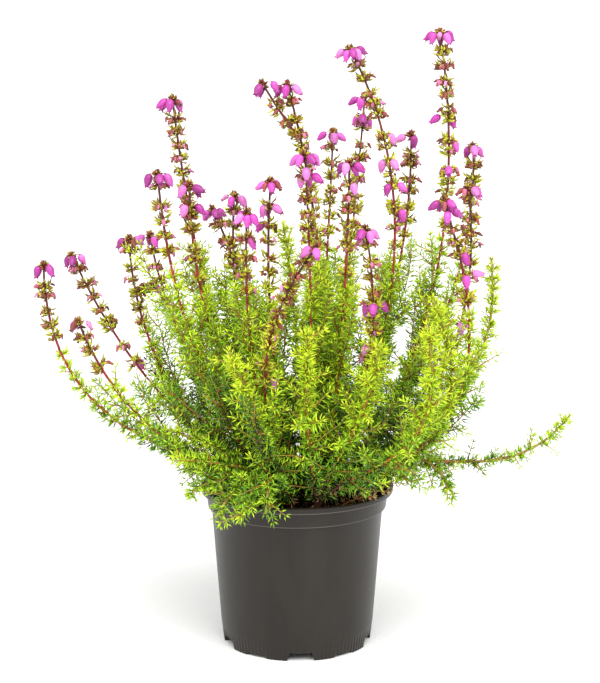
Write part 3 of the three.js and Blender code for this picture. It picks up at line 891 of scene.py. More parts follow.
STEMS = (
    StemPlan((-18, -3), (-134, -16, 101), (-133, -16, 210), rise=30, spike=48, head=3, bushy=0.38),
    StemPlan((-24, 8), (-82, 16, 118), (-122, 18, 210), spike=78, head=3, lower=((68, 1),), bushy=0.74),
    StemPlan((-19, -13), (-84, -34, 104), (-113, -36, 183), spike=34, head=3, faded=0.8, bushy=0.92),
    StemPlan(
        (-22, 18), (-88, 36, 118), (-93, 38, 217), spike=52, head=3, fork=(-80, 30, 192, 30, 4), faded=0.4,
        bushy=1.15,
    ),
    StemPlan((-12, 26), (-70, 66, 128), (-84, 74, 214), spike=45, head=3),
    StemPlan((-14, 6), (-50, 8, 150), (-66, 10, 295), spike=76, head=6),
    StemPlan((-13, -21), (-62, -36, 146), (-71, -38, 260), spike=48, head=4),
    StemPlan((-9, -9), (-56, -14, 160), (-56, -16, 252), spike=56, head=5, lower=((12, 2),)),
    StemPlan((-2, 24), (-16, 48, 160), (-47, 54, 231), spike=44, head=6),
    StemPlan((-6, 14), (-40, 20, 160), (-34, 24, 242), spike=44, head=4, faded=0.5),
    StemPlan((-5, -19), (-30, -46, 150), (-25, -54, 242), spike=48, head=5, lower=((14, 2),)),
    StemPlan((-1, 2), (-20, 2, 160), (-14, 2, 252), spike=62, head=6, lower=((14, 3), (24, 2)), faded=0.4),
    StemPlan((3, 34), (2, 70, 150), (-8, 88, 218)),
    StemPlan((7, 8), (26, -2, 190), (-5, -4, 303), spike=92, head=6, fork=(-18, -8, 304, 30, 3)),
    StemPlan((6, -10), (10, -34, 170), (4, -40, 270), spike=62, head=7, lower=((12, 3),)),
    StemPlan((9, 18), (16, 46, 180), (20, 54, 274), spike=60, head=4),
    StemPlan((14, -17), (26, -26, 160), (27, -28, 265), spike=60, head=5, lower=((12, 2),), bare=0.25),
    StemPlan(
        (16, 4), (86, 12, 215), (28, 14, 321), spike=112, head=6, lower=((50, 2), (64, 2), (77, 2), (91, 2))
    ),
    StemPlan((14, 28), (30, 62, 190), (38, 72, 292), spike=90, head=5, lower=((12, 3),)),
    StemPlan((20, 25), (65, 44, 180), (63, 50, 273), spike=60, head=3, lower=((48, 1),)),
    StemPlan((25, 6), (100, 6, 180), (75, 6, 330), spike=106, head=6, lower=((46, 2), (58, 2), (73, 3))),
    StemPlan(
        (25, -9), (124, -34, 108), (75, -34, 246), spike=58, head=8, lower=((30, 2), (42, 2)), bushy=0.85,
        bare=0.2,
    ),
    StemPlan((28, 20), (104, 50, 165), (98, 58, 266), spike=56, head=3, bushy=0.75),
    StemPlan((32, 0), (104, -8, 140), (90, -8, 250), spike=96, head=5, lower=((74, 2), (84, 1)), bushy=0.75),
    StemPlan((11, -28), (50, -62, 150), (34, -72, 236), spike=74, head=5, lower=((40, 4), (64, 2)), bare=0.3),
    StemPlan((23, -20), (106, -56, 112), (68, -60, 199), bare=0.14),
    StemPlan((-2, -30), (-38, -62, 165), (10, -80, 228), spike=92, head=2, lower=((82, 1),), faded=0.0),
)
# Stems without flowers, by the node that they stand for
GREEN_STEMS = {
    "green_stem_1": (StemPlan((36, 15), (118, 36, 118), (107, 34, 205), rise=34, bushy=0.36, withered=True),),
    "green_stem_2": (StemPlan((38, 7), (112, 8, 72), (149, 12, 122), rise=42, bushy=0.62, vigour=0.8),),
    "green_stem_3": (StemPlan((32, -14), (72, -28, 118), (83, -30, 88), rise=38, bushy=0.8),),
    "front_clump_left": (
        StemPlan((-13, -32), (-14, -60, 126), (-34, -70, 174), rise=30),
        StemPlan((-13, -32), (-14, -54, 112), (-16, -64, 88), rise=32),
        StemPlan((-13, -32), (-34, -46, 106), (-62, -46, 114), rise=34),
    ),
    "front_clump_right": (
        StemPlan((10, -37), (3, -60, 130), (5, -70, 183), rise=30, bare=0.1),
        StemPlan((10, -37), (38, -62, 130), (41, -70, 178), rise=30, bare=0.18),
        StemPlan((10, -37), (82, -74, 104), (64, -84, 190), rise=34, bare=0.14),
    ),
}
# Slight shoots that leave a clump's root and lie over the rim
RIM_SHOOTS = {
    "front_clump_left": (
        StemPlan((-13, -32), (-42, -40, 106), (-56, -42, 92), rise=24),
        StemPlan((-13, -32), (-30, -50, 106), (-42, -58, 84), rise=24),
        StemPlan((-13, -32), (-22, -50, 110), (-28, -63, 84), rise=26),
        StemPlan((-13, -32), (-46, -22, 106), (-62, -20, 100), rise=24),
        StemPlan((-13, -32), (-50, -30, 118), (-68, -36, 126), rise=30),
    ),
    "green_stem_3": (
        StemPlan((32, -14), (54, -18, 106), (66, -20, 102), rise=26, bushy=0.6),
        StemPlan((32, -14), (50, -30, 106), (60, -38, 98), rise=24, bushy=0.6),
    ),
}
# Dry twigs that lie by the rim: the control points of each, in millimetres
DRY_TWIGS = (
    ((24, -22, 79), (34, -30, 92), (47, -34, 92)),
    ((30, -16, 79), (42, -24, 94), (55, -28, 95)),
    ((20, -28, 79), (29, -36, 90), (40, -38, 90)),
)


@dataclass(frozen=True)
class NeedleHabit:
    """How needles stand on a shoot, in millimetres and degrees from the shoot's own line.

    whorl is the number in a ring and spacing how far apart rings are. They lean by lean_low, and over the
    last tip_length more and more by lean_high. At the nodes of a main stem, axils is the number of long
    needles, with axil_lengths for the short ones in each axil. Needles past the age of fine_until are the
    plainer shape, so that the plant stays under a million triangles.
    """

    length: float = 6.6
    width: float = 0.88
    depth: float = 0.55
    spacing: float = 2.45
    whorl: int = 4
    lean_low: float = 86.0
    lean_high: float = 42.0
    tip_length: float = 7.0
    axils: int = 3
    axil_lengths: tuple[float, float] = (4.6, 6.6)
    fine_until: float = 0.26


@dataclass(frozen=True)
class ShootPlan:
    """Side shoots up a stem, in millimetres and degrees.

    start and end are shares of the stem's leafy length, lift is how strongly the shoots bend up, and aged
    is added to the age of their needles.
    """

    start: float
    end: float
    spacing: float
    longest: float
    shortest: float
    lean: tuple[float, float]
    lift: tuple[float, float]
    aged: float = 0.0


# Short shoots all the way up, long ones on flowering stems, drooping ones on the others, and twigs on shoots
TUFTED_SHOOTS = ShootPlan(0.06, 0.96, 7.5, 24, 9, lean=(40, 75), lift=(-0.1, 0.6))
LONG_SHOOTS = ShootPlan(0.1, 0.76, 12.5, 66, 34, lean=(12, 32), lift=(0.35, 0.85), aged=0.14)
HANGING_SHOOTS = ShootPlan(0.15, 0.98, 8.0, 24, 12, lean=(30, 70), lift=(-0.35, 0.3))
TWIGS = ShootPlan(0.2, 0.85, 8.0, 15, 8, lean=(35, 65), lift=(0, 0.5))


class Foliage:
    """Needles, tufts and side shoots along the stems of one piece.

    Its needles are painted darker as shade below LIT_HEIGHT, most of all SHADE_DEPTH lower down, and LIGHTEST
    is the painted shade high up, below 0, so that needles there are painted lighter.
    A shoot's line has RINGS rings and narrows by SHOOT_RADII, and is tried at up to TRIES turns where the
    pot is in its way. Shoots from TWIG_BEARING up carry twigs.
    """

    LIT_HEIGHT = 128.0
    SHADE_DEPTH = 40.0
    LIGHTEST = -0.3
    RINGS = 7
    SHOOT_RADII = (0.42, 0.2)
    TRIES = 5
    TWIG_BEARING = 28.0

    def __init__(self, growth: Growth, seed: int, habit: NeedleHabit = NeedleHabit()) -> None:
        """Keep the piece that it grows into, and its own repeatable draws.

        Args:
            growth: The piece.
            seed: What its draws start from.
            habit: How its needles stand.
        """
        self.growth = growth
        self.rng = np.random.default_rng(seed)
        self.habit = habit
        self.vigour = 1.0

    def shade(self, point: np.ndarray) -> float:
        """How much painted shade a place's needles get by its height, up to 1, and below 0 painted light high
        up.
        """
        return min(max((self.LIT_HEIGHT * MM - point[2]) / (self.SHADE_DEPTH * MM), self.LIGHTEST), 1.0)

    def needles(
        self, bases: np.ndarray, ways: np.ndarray, stems: np.ndarray, lengths: np.ndarray, ages: np.ndarray,
        skin: Finish = NEEDLE,
    ) -> None:
        """Press needles, without those that would enter the pot or the compost.

        Args:
            bases: Where each needle starts.
            ways: Where each needle points.
            stems: The way the stem heads at each needle.
            lengths: The needles' lengths in metres.
            ages: The needles' ages.
            skin: Their finish.
        """
        ways = unit(ways)
        lengths = lengths * self.vigour
        middles = bases + ways * lengths[:, None] * 0.55
        tips = bases + ways * lengths[:, None]
        keep = clear_of_pot(bases) & clear_of_pot(middles) & clear_of_pot(tips)
        bases, ways, stems, lengths, ages = (values[keep] for values in (bases, ways, stems, lengths, ages))
        count = len(bases)
        grow = self.rng.uniform(0.8, 1.2, count) * self.vigour ** 0.5
        frames = frames_for(ways, stems, self.habit.width * MM * grow, self.habit.depth * MM * grow, lengths)
        tones, fine = self.rng.random(count), ages < self.habit.fine_until
        for shape, share in ((NEEDLE_SHAPE, fine), (SPINDLE_SHAPE, ~fine)):
            self.growth.press(shape, skin, bases[share], frames[share], tones[share], ages[share])

    def brush(
        self, route: Route, start: float, end: float, age_low: float, age_high: float, size: float,
        skin: Finish = NEEDLE,
    ) -> None:
        """Whorls of needles all along a shoot, leaning forward at its tip.

        Args:
            route: The shoot's line.
            start: Where the first whorl stands.
            end: Where the last one stands.
            age_low: The needles' age at the start.
            age_high: The needles' age at the end.
            size: The needles' share of their full length.
            skin: Their finish.
        """
        if end - start < self.habit.spacing * MM:
            return
        count = max(2, round((end - start) / (self.habit.spacing * MM)))
        places = np.linspace(start, end, count) + self.rng.normal(0, 0.25 * MM, count)
        number = self.habit.whorl
        along = np.repeat(np.clip(places, 0, route.length), number)
        turns = np.repeat(np.arange(count) * (math.pi / number) + self.rng.uniform(0, 2 * math.pi), number)
        turns += np.tile(np.arange(number) * (2 * math.pi / number), count)
        turns += self.rng.normal(0, 0.22, len(turns))
        to_tip = np.clip((route.length - along) / (self.habit.tip_length * MM), 0, 1)
        low, high = self.habit.lean_low, self.habit.lean_high
        lean = np.radians(high + (low - high) * to_tip ** 0.7 - 14 * self.rng.random(len(turns)))
        headings = route.heading(along)
        out = outward(headings, turns)
        ways = headings * np.cos(lean)[:, None] + out * np.sin(lean)[:, None]
        ways[:, 2] += 0.12
        share = np.clip((along - start) / (end - start), 0, 1)
        lengths = self.habit.length * MM * size * (0.62 + 0.38 * to_tip)
        lengths = lengths * self.rng.uniform(0.8, 1.08, len(turns))
        ages = age_low + (age_high - age_low) * share + self.rng.normal(0, 0.08, len(turns))
        self.needles(route.at(along) + out * 0.2 * MM, ways, headings, lengths, np.clip(ages, 0, 1), skin)

    def tufts(self, route: Route, start: float, end: float, spacing: float, fullness: float) -> None:
        """Nodes of the main stem: a few long needles each, with a tuft of short ones in every axil.

        Args:
            route: The stem's line.
            start: Where the first node stands.
            end: Where the last one stands.
            spacing: How far apart they are.
            fullness: How many short needles stand in each axil.
        """
        places = np.arange(start, end, spacing)
        places = places + self.rng.normal(0, 0.12 * spacing, len(places))
        number = self.habit.axils
        step = 2 * math.pi / number
        for index, place in enumerate(places):
            point, heading = route.stand(place)
            turns = (index / 2 + np.arange(number)) * step + self.rng.normal(0, 0.15, number)
            headings = np.tile(heading, (number, 1))
            axils = outward(headings, turns)
            size = 1.0 - 0.15 * place / route.length
            # the age takes painted shade low in the plant and painted light high up, on top of real ageing
            # down the stem
            age = 0.66 - 0.5 * place / route.length + 0.3 * self.shade(point)
            ways = axils * 0.94 + heading * 0.3
            lengths = self.habit.length * MM * size * self.rng.uniform(0.9, 1.15, number)
            self.needles(point + axils * 0.4 * MM, ways, headings, lengths, np.full(number, age + 0.1))
            for axil in axils:
                count = self.rng.poisson(fullness) + 3
                spread = self.rng.normal(0, 0.62, (count, 3))
                ways = unit(axil * 0.9 + heading * 0.35) + spread
                lengths = self.rng.uniform(*self.habit.axil_lengths, count) * MM * size
                lifts = self.rng.uniform(0, 1.8, count)[:, None] * MM * (axil * 0.7 + heading * 0.7)
                ages = np.clip(self.rng.normal(age - 0.15, 0.16, count), 0, 1)
                bases = point + axil * 0.5 * MM + lifts
                self.needles(bases, ways, np.tile(heading, (count, 1)), lengths, ages)

    def shoot(
        self, start: np.ndarray, heading: np.ndarray, turn: float, length: float, lean: float, lift: float,
        age: float,
    ) -> Route | None:
        """A leafy side shoot that bends towards the light, or sags where it is low.

        Args:
            start: Where it leaves its stem.
            heading: The way its stem heads there.
            turn: Its side of the stem, as a turn about it.
            length: Its length in metres.
            lean: Its angle to the stem at its start, in radians.
            lift: How strongly it bends up, or down below 0.
            age: The age of its lowest needles, with painted shade by height in it.

        Returns:
            The shoot's line, or None where the pot is in the way.
        """
        out = outward(heading, turn)[0]
        aim = heading * math.cos(lean) + out * math.sin(lean)
        middle = start + aim * 0.5 * length
        sway = self.rng.normal(0, 0.06, 3) * length
        tip = middle + (aim * (1 - abs(lift)) + UP * lift) * 0.52 * length + sway
        route = Route.bend(start, middle, tip)
        if not clear_of_pot(route.points[8:], 1.2 * MM).all():
            return None
        line = route.at(np.linspace(0, route.length, self.RINGS))
        radii = np.linspace(*self.SHOOT_RADII, self.RINGS) * MM
        self.growth.tube(line, radii, np.linspace(0.38, 0.05, self.RINGS), BARK, self.rng.random(), 4)
        low, high = age * self.rng.uniform(0.55, 1.3), age * self.rng.uniform(0.1, 0.65)
        high += 0.6 * max(age - 0.72, 0.0)
        self.brush(route, 0.06 * length, route.length, low, high, self.rng.uniform(0.85, 1.0))
        return route

    def shoots(self, route: Route, leafy: float, plan: ShootPlan, stem: StemPlan) -> None:
        """Side shoots up a stem, each a golden angle on and the long ones low down.

        Args:
            route: The stem's line.
            leafy: The length of its leafy part.
            plan: Where the shoots stand and how they grow.
            stem: The stem that they grow on.
        """
        first = self.rng.uniform(0, 2 * math.pi)
        start = max(plan.start, stem.bare)
        for index, place in enumerate(np.arange(start * leafy, plan.end * leafy, plan.spacing * MM)):
            place += self.rng.normal(0, 0.2 * plan.spacing) * MM
            share = place / leafy
            length = (plan.longest + (plan.shortest - plan.longest) * share) * MM * stem.bushy
            length *= self.rng.uniform(0.65, 1.25)
            lean = math.radians(self.rng.uniform(*plan.lean))
            point, heading = route.stand(place)
            low = self.shade(point)
            lift = max(self.rng.uniform(*plan.lift) - 0.6 * low * self.rng.random(), -0.6)
            # painted shade by height darkens the needles of low shoots, and painted light lightens those of
            # high ones
            age = 0.72 - 0.42 * place / route.length + 0.4 * low + plan.aged
            for step in range(self.TRIES):
                turn = first + index * GOLDEN_ANGLE + step * 1.3
                grown = self.shoot(point, heading, turn, length, lean, lift, age)
                if grown is not None:
                    self.twigs(grown, age)
                    break

    def twigs(self, route: Route, age: float) -> None:
        """Short twigs on a long shoot.

        Args:
            route: The shoot's line.
            age: The age of its lowest needles, with painted shade by height in it.
        """
        if route.length < self.TWIG_BEARING * MM:
            return
        shares = np.arange(TWIGS.start, TWIGS.end, TWIGS.spacing * MM / route.length)
        for place in shares * route.length:
            point, heading = route.stand(place)
            turn = self.rng.uniform(0, 2 * math.pi)
            length = self.rng.uniform(TWIGS.shortest, TWIGS.longest) * MM
            lean = math.radians(self.rng.uniform(*TWIGS.lean))
            self.shoot(point, heading, turn, length, lean, self.rng.uniform(*TWIGS.lift), 0.8 * age)


@dataclass(frozen=True)
class LeafyStem:
    """The leafy part of one or more stems from one root, up to where the flowers start.

    Lengths are in millimetres. fullness is how many short needles an axil has on the whole, dead how many
    dry needles hang low on each stem, and dry lays the dry twigs by the rim beside it.
    """

    name: str
    plans: tuple[StemPlan, ...]
    seed: int
    root_radius: float = 0.95
    top_radius: float = 0.62
    rings: int = 26
    sides: int = 8
    node_spacing: float = 6.4
    first_node: float = 9.0
    fullness: float = 6.6
    dead: int = 26
    dry: bool = False

    def build(self) -> bpy.types.Object:
        """Grow the stems with their needles and side shoots.

        Returns:
            The finished piece.
        """
        foliage = Foliage(Growth(self.name.capitalize(), Slot.LEAF, [BARK, NEEDLE, DRY_NEEDLE]), self.seed)
        for plan in self.plans:
            route = plan.route()
            leafy = route.length - plan.spike * MM
            self.lay_stem(foliage, plan, route, leafy)
            foliage.vigour = plan.vigour
            first = max(self.first_node * MM, 0.7 * plan.bare * leafy)
            foliage.tufts(route, first, leafy - 2 * MM, self.node_spacing * MM, self.fullness)
            foliage.shoots(route, leafy, TUFTED_SHOOTS, plan)
            if plan.spike:
                foliage.shoots(route, leafy, LONG_SHOOTS, plan)
            else:
                # the tip's needles are painted darker as shade where the tip lies low, and lighter where it
                # is high
                tip_age = 0.1 + 0.4 * foliage.shade(route.points[-1])
                foliage.brush(route, 0.3 * leafy, leafy, 0.55, tip_age, 1.0)
                foliage.shoots(route, leafy, HANGING_SHOOTS, plan)
            if plan.withered:
                foliage.brush(route, leafy - 5 * MM, leafy, 0.9, 0.4, 0.75, DRY_NEEDLE)
            self.dead_needles(foliage, route, leafy)
        if self.dry:
            self.dry_twigs(foliage)
        return foliage.growth.finish([self.name])

    def lay_stem(self, foliage: Foliage, plan: StemPlan, route: Route, leafy: float) -> None:
        """Lay the stem itself, brown and thick at its root and crimson below the flowers.

        Args:
            foliage: What grows on it.
            plan: The stem's plan.
            route: Its line.
            leafy: The length of its leafy part.
        """
        lengths = np.linspace(0, leafy, self.rings)
        points = np.vstack([plan.foot(), route.at(lengths)])
        share = np.concatenate([[0], lengths / leafy])
        radii = (self.root_radius + (self.top_radius - self.root_radius) * share) * MM
        middle_age, top_age = (0.5, 0.7) if plan.spike else (0.3, 0.05)
        ages = np.interp(share, (0.0, 0.2, 0.24, 0.5, 1.0), (1.0, 0.95, 0.45, middle_age, top_age))
        foliage.growth.tube(points, radii, ages, BARK, foliage.rng.random(), self.sides)

    def dry_twigs(self, foliage: Foliage) -> None:
        """Lay the dry twigs by the rim.

        Args:
            foliage: What they grow into.
        """
        rings = 9
        for controls in DRY_TWIGS:
            route = Route.bend(*(np.array(point) * MM for point in controls))
            line = route.at(np.linspace(0, route.length, rings))
            radii = np.linspace(0.5, 0.25, rings) * MM
            foliage.growth.tube(line, radii, np.full(rings, 0.35), BARK, foliage.rng.random(), 5)
            foliage.brush(route, 0.15 * route.length, route.length, 0.6, 0.1, 0.85, DRY_NEEDLE)

    def dead_needles(self, foliage: Foliage, route: Route, leafy: float) -> None:
        """Hang a few dry needles low on the stem.

        Args:
            foliage: What they grow into.
            route: The stem's line.
            leafy: The length of its leafy part.
        """
        along = foliage.rng.uniform(4 * MM, 0.35 * leafy, self.dead)
        headings = route.heading(along)
        out = outward(headings, foliage.rng.uniform(0, 2 * math.pi, self.dead))
        ways = out - 0.5 * headings * foliage.rng.random(self.dead)[:, None]
        lengths = foliage.rng.uniform(3.5, 5.0, self.dead) * MM
        ages = foliage.rng.random(self.dead)
        foliage.needles(route.at(along) + out * 0.4 * MM, ways, headings, lengths, ages, DRY_NEEDLE)


@dataclass
class FlowerSpike:
    """The flowering end of a stem: whorls of small leaves and spent bells, with living bells at its head.

    Lengths are in millimetres and angles in degrees. gap keeps it off the leafy part below. Whorls stand
    whorl_spacing apart, give or take whorl_jitter, and brown over the top part called browning. Bells in a
    whorl hang by low_pitch and high_pitch in turn.
    """

    name: str
    plan: StemPlan
    seed: int
    gap: float = 0.3
    low_radius: float = 0.72
    tip_radius: float = 0.58
    rings: int = 14
    whorl_spacing: float = 7.6
    whorl_jitter: float = 1.3
    whorl_leaves: tuple[int, int] = (16, 38)
    whorl_buds: tuple[int, int] = (5, 11)
    leaf_width: float = 1.45
    browning: float = 60.0
    bell_length: float = 6.8
    low_pitch: float = -68.0
    high_pitch: float = -40.0
    head_below_tip: float = 2.0
    head_step: float = 6.0
    whorl_of_bells: int = 6
    calyx_leaves: int = 4
    crown_buds: int = 14
    growth: Growth = field(init=False)
    rng: np.random.Generator = field(init=False)

    def __post_init__(self) -> None:
        """Start the piece and its own repeatable draws."""
        self.growth = Growth(self.name.capitalize(), Slot.BELL, [BARK, SPIKE_LEAF, PETAL, CALYX, SPENT])
        self.rng = np.random.default_rng(self.seed)

    def build(self) -> bpy.types.Object:
        """Grow the spike, and its fork where it has one.

        Returns:
            The finished piece.
        """
        route = self.plan.route()
        start = route.length - (self.plan.spike - self.gap) * MM
        self.grow(route, start, self.plan.head, self.plan.lower)
        if self.plan.fork:
            x, y, z, below, count = self.plan.fork
            leave, _ = route.stand(route.length - below * MM)
            tip = np.array([x, y, z]) * MM
            middle = (leave + tip) / 2 - UP * 2 * MM
            self.grow(Route.bend(leave, middle, tip), 0.0, count, ())
        return self.growth.finish([self.name])

    def grow(self, route: Route, start: float, head: int, lower: tuple[tuple[float, int], ...]) -> None:
        """Grow one flowering line.

        Args:
            route: The line.
            start: Where the flowering part starts on it.
            head: The bells at its tip.
            lower: Pairs of distance below the tip and number of bells.
        """
        lengths = np.linspace(start, route.length, self.rings)
        radii = np.linspace(self.low_radius, self.tip_radius, self.rings) * MM
        ages = np.linspace(0.7, 0.88, self.rings)
        self.growth.tube(route.at(lengths), radii, ages, BARK, self.rng.random(), 6)
        left, below = head, self.head_below_tip
        while left > 0:
            count = min(left, self.whorl_of_bells)
            self.bells(route, route.length - below * MM, count)
            left, below = left - count, below + self.head_step
        taken = [route.length - depth * MM for depth, _ in lower]
        for place, (_, count) in zip(taken, lower):
            self.bells(route, place, count)
            self.whorl(route, place, 2)
        self.crown(route)
        last = route.length - (below + 2) * MM
        for place in np.arange(last, start + 2 * MM, -self.whorl_spacing * MM):
            if all(abs(place - other) > 5 * MM for other in taken):
                share = (place - start) / max(route.length - start, 1e-6)
                place += self.rng.normal(0, self.whorl_jitter * MM)
                self.whorl(route, place, self.rng.poisson(2.2 + 6.6 * share ** 2))

    def leaf_frames(
        self, ways: np.ndarray, heading: np.ndarray, width: float, lengths: np.ndarray
    ) -> np.ndarray:
        """Matrices for small leaves of one width.

        Args:
            ways: Where each leaf points.
            heading: The way the stem heads there.
            width: The leaves' width in millimetres.
            lengths: Their lengths in metres.

        Returns:
            One 3 by 3 matrix for each leaf.
        """
        stems = np.tile(heading, (len(ways), 1))
        return frames_for(ways, stems, np.array(width * MM), np.array(0.7 * width * MM), lengths)

    def whorl(self, route: Route, place: float, spent: int) -> None:
        """Small leaves round the stem, browner towards the head, with buds and spent bells among them.

        Args:
            route: The stem's line.
            place: Where the whorl stands on it.
            spent: How many spent bells nod from it.
        """
        rng = self.rng
        point, heading = route.stand(place)
        high = max(0.0, 1 - (route.length - place) / (self.browning * MM))
        count = int(rng.integers(*self.whorl_leaves))
        size = rng.uniform(0.85, 1.3)
        turns = rng.uniform(0, 2 * math.pi, count)
        out = outward(np.tile(heading, (count, 1)), turns)
        lean = np.radians(rng.uniform(25, 105, count))[:, None]
        ways = heading * np.cos(lean) + out * np.sin(lean)
        lengths = rng.uniform(3.0, 5.4, count) * MM * size
        bases = point + out * rng.uniform(0.4, 1.8, count)[:, None] * MM
        bases += heading * rng.uniform(-1.8, 2.4, count)[:, None] * MM
        frames = self.leaf_frames(ways, heading, self.leaf_width, lengths)
        tones = rng.random(count)
        ages = np.clip(rng.normal(0.28 + 0.48 * high, 0.28, count), 0, 1)
        self.growth.press(NEEDLE_SHAPE, SPIKE_LEAF, bases, frames, tones, ages)
        self.buds(point, heading, int(rng.integers(*self.whorl_buds)))
        for _ in range(spent):
            turn = rng.uniform(0, 2 * math.pi)
            pitch = math.radians(rng.uniform(-85, -20))
            self.nod(route, place, turn, pitch, rng.uniform(2.4, 3.8) * MM, SPENT_SHAPE, SPENT)

    def buds(self, point: np.ndarray, heading: np.ndarray, count: int) -> None:
        """Small maroon and olive buds in the axils of a whorl.

        Args:
            point: The whorl's middle.
            heading: The way the stem heads there.
            count: How many buds there are.
        """
        rng = self.rng
        out = outward(np.tile(heading, (count, 1)), rng.uniform(0, 2 * math.pi, count))
        ways = unit(out - UP * rng.uniform(-0.2, 1.1, count)[:, None])
        sizes = rng.uniform(1.5, 2.4, count) * MM
        frames = frames_for(ways, out + heading, sizes, sizes, sizes)
        bases = point + out * rng.uniform(0.8, 2.6, count)[:, None] * MM
        self.growth.press(BUD_SHAPE, CALYX, bases, frames, rng.random(count), rng.uniform(0, 0.9, count))

    def bells(self, route: Route, place: float, count: int) -> None:
        """Living bells round the stem, one low and one high in turn.

        Args:
            route: The stem's line.
            place: Where they stand on it.
            count: How many there are.
        """
        rng = self.rng
        first = rng.uniform(0, 2 * math.pi)
        for index in range(count):
            turn = first + index * (2 * math.pi / max(count, 3)) + rng.normal(0, 0.2)
            hang = self.low_pitch if index % 2 == 0 else self.high_pitch
            pitch = math.radians(hang + rng.normal(0, 9))
            size = self.bell_length * MM * rng.uniform(0.9, 1.05)
            if rng.random() < self.plan.faded:
                self.nod(route, place, turn, pitch, 0.75 * size, SPENT_SHAPE, SPENT)
            else:
                self.nod(route, place, turn, pitch, size, BELL_SHAPE, PETAL)

    def nod(
        self, route: Route, place: float, turn: float, pitch: float, size: float, shape: Stamp, skin: Finish
    ) -> None:
        """One bell on its arching stalk, with the leaves of its calyx.

        Args:
            route: The stem's line.
            place: Where the stalk leaves it.
            turn: The stalk's side of the stem.
            pitch: The bell's angle to the horizontal.
            size: The bell's length.
            shape: The bell's stamp.
            skin: The bell's finish.
        """
        rng, count = self.rng, self.calyx_leaves
        point, heading = route.stand(place)
        out = outward(heading, turn)[0]
        flat = unit(out * [1, 1, 0.3])
        reach = rng.uniform(1.8, 3.6) * MM
        knee = point + flat * 0.6 * reach + UP * 0.75 * reach
        neck = point + flat * 1.25 * reach + UP * 0.55 * reach
        way = unit(flat * math.cos(pitch) + UP * math.sin(pitch))
        stalk = np.array([point, knee, neck, neck + way * 0.25 * size])
        radii = np.array([0.24, 0.2, 0.2, 0.3]) * MM
        self.growth.tube(stalk, radii, np.full(len(stalk), 0.66), BARK, rng.random(), 4)
        scale = np.array([size])
        frames = frames_for(way[None], flat[None] + 0.2, scale, scale, scale)
        self.growth.press(shape, skin, neck[None], frames, np.array([rng.random()]), np.array([rng.random()]))
        turns = np.arange(count) * (2 * math.pi / count) + rng.uniform(0, 1.5)
        across = outward(np.tile(way, (count, 1)), turns)
        starts = neck + across * 0.05 * size - way * 0.04 * size
        lengths = rng.uniform(0.42, 0.56, count) * size
        frames = frames_for(
            way * 0.8 + across * 0.62, across, np.full(count, 0.2 * size), np.full(count, 0.1 * size), lengths
        )
        tones = rng.random(count)
        self.growth.press(NEEDLE_SHAPE, CALYX, starts, frames, tones, rng.uniform(0.2, 1.0, count))

    def crown(self, route: Route) -> None:
        """The dark knot of young buds and calyx leaves at the very tip.

        Args:
            route: The stem's line.
        """
        rng, count = self.rng, self.crown_buds
        tip, heading = route.stand(route.length)
        stems = np.tile(heading, (count, 1))
        out = outward(stems, np.arange(count) * GOLDEN_ANGLE + rng.uniform(0, 6))
        lean = np.radians(np.linspace(15, 125, count))[:, None]
        ways = heading * np.cos(lean) + out * np.sin(lean)
        sizes = rng.uniform(1.8, 3.0, count) * MM
        frames = frames_for(ways, stems, sizes, sizes, sizes)
        knots = tip + ways * 0.5 * MM - heading * np.linspace(0, 2.5, count)[:, None] * MM
        self.growth.press(BUD_SHAPE, CALYX, knots, frames, rng.random(count), rng.uniform(0.2, 1, count))
        for skin in (CALYX, SPIKE_LEAF):
            ways = unit(ways + rng.normal(0, 0.5, (count, 3)))
            frames = self.leaf_frames(ways, heading, 0.9, 1.3 * sizes)
            bases = tip + ways * 0.3 * MM
            self.growth.press(NEEDLE_SHAPE, skin, bases, frames, rng.random(count), rng.uniform(0, 1, count))


# Pot and compost

# Corners of the pot and the compost become one if they are nearer than this, in metres
NEAR = 1e-6

# The pot's section as (radius, height, rounding) in millimetres: from the middle of its underside, round
# the foot ring, up the wall and the lip, and down inside to the middle of the plate
POT_SECTION = (
    (0, 0, 0), (9, 0, 0.4), (9.6, 4.6, 0.4), (38.2, 4.6, 0.4), (38.9, 2.4, 0), (38.9, 0, 0.3),
    (40.3, 0, 0.3), (40.5, 2.0, 0), (40.7, 3.5, 0), (40.9, 5.0, 0), (41.2, 7.5, 0), (41.42, 9.5, 0),
    (41.7, 12, 0), (44.1, 43, 0), (46.6, 75.4, 0.3), (48.5, 75.7, 0.4), (49.5, 83.8, 0.3),
    (52.2, 84.0, 0.4), (52.5, 87.0, 0.5), (51.2, 87.4, 0.4), (50.4, 87.2, 0.4), (48.3, 84.2, 0.5),
    (47.2, 76, 0.4), (45.2, 74.9, 0.4), (43.0, 46, 0), (40.3, 12, 0), (39.2, 6.2, 0.8), (24, 6.2, 0),
    (0, 6.2, 0),
)


def rounded(corners: Sequence[tuple[float, float, float]]) -> list[tuple[float, float]]:
    """A profile with its corners rounded off.

    Args:
        corners: (radius, height, rounding) in millimetres, in order.

    Returns:
        (radius, height) in metres, with three points for each rounded corner.
    """
    points = [Vector((radius, height)) for radius, height, _ in corners]
    profile = []
    for index, (radius, height, rounding) in enumerate(corners):
        if not rounding:
            profile.append((radius * MM, height * MM))
            continue
        here = points[index]
        before = here + (points[index - 1] - here).normalized() * rounding
        after = here + (points[index + 1] - here).normalized() * rounding
        middle = (before + after) / 4 + here / 2
        profile += [(point.x * MM, point.y * MM) for point in (before, middle, after)]
    return profile


@dataclass(frozen=True)
class Notch:
    """A gap between the pot's feet: its height, and its width at its top and at the foot."""

    height: float
    top_width: float
    foot_width: float

    def rise(self, offset: float) -> float:
        """How high the notch is at a place.

        Args:
            offset: How far from its middle, in metres.

        Returns:
            Its height there in metres.
        """
        slope = (self.foot_width - self.top_width) / 2
        inside = (self.foot_width / 2 - abs(offset) / MM) / slope
        return self.height * MM * min(max(inside, 0.0), 1.0)


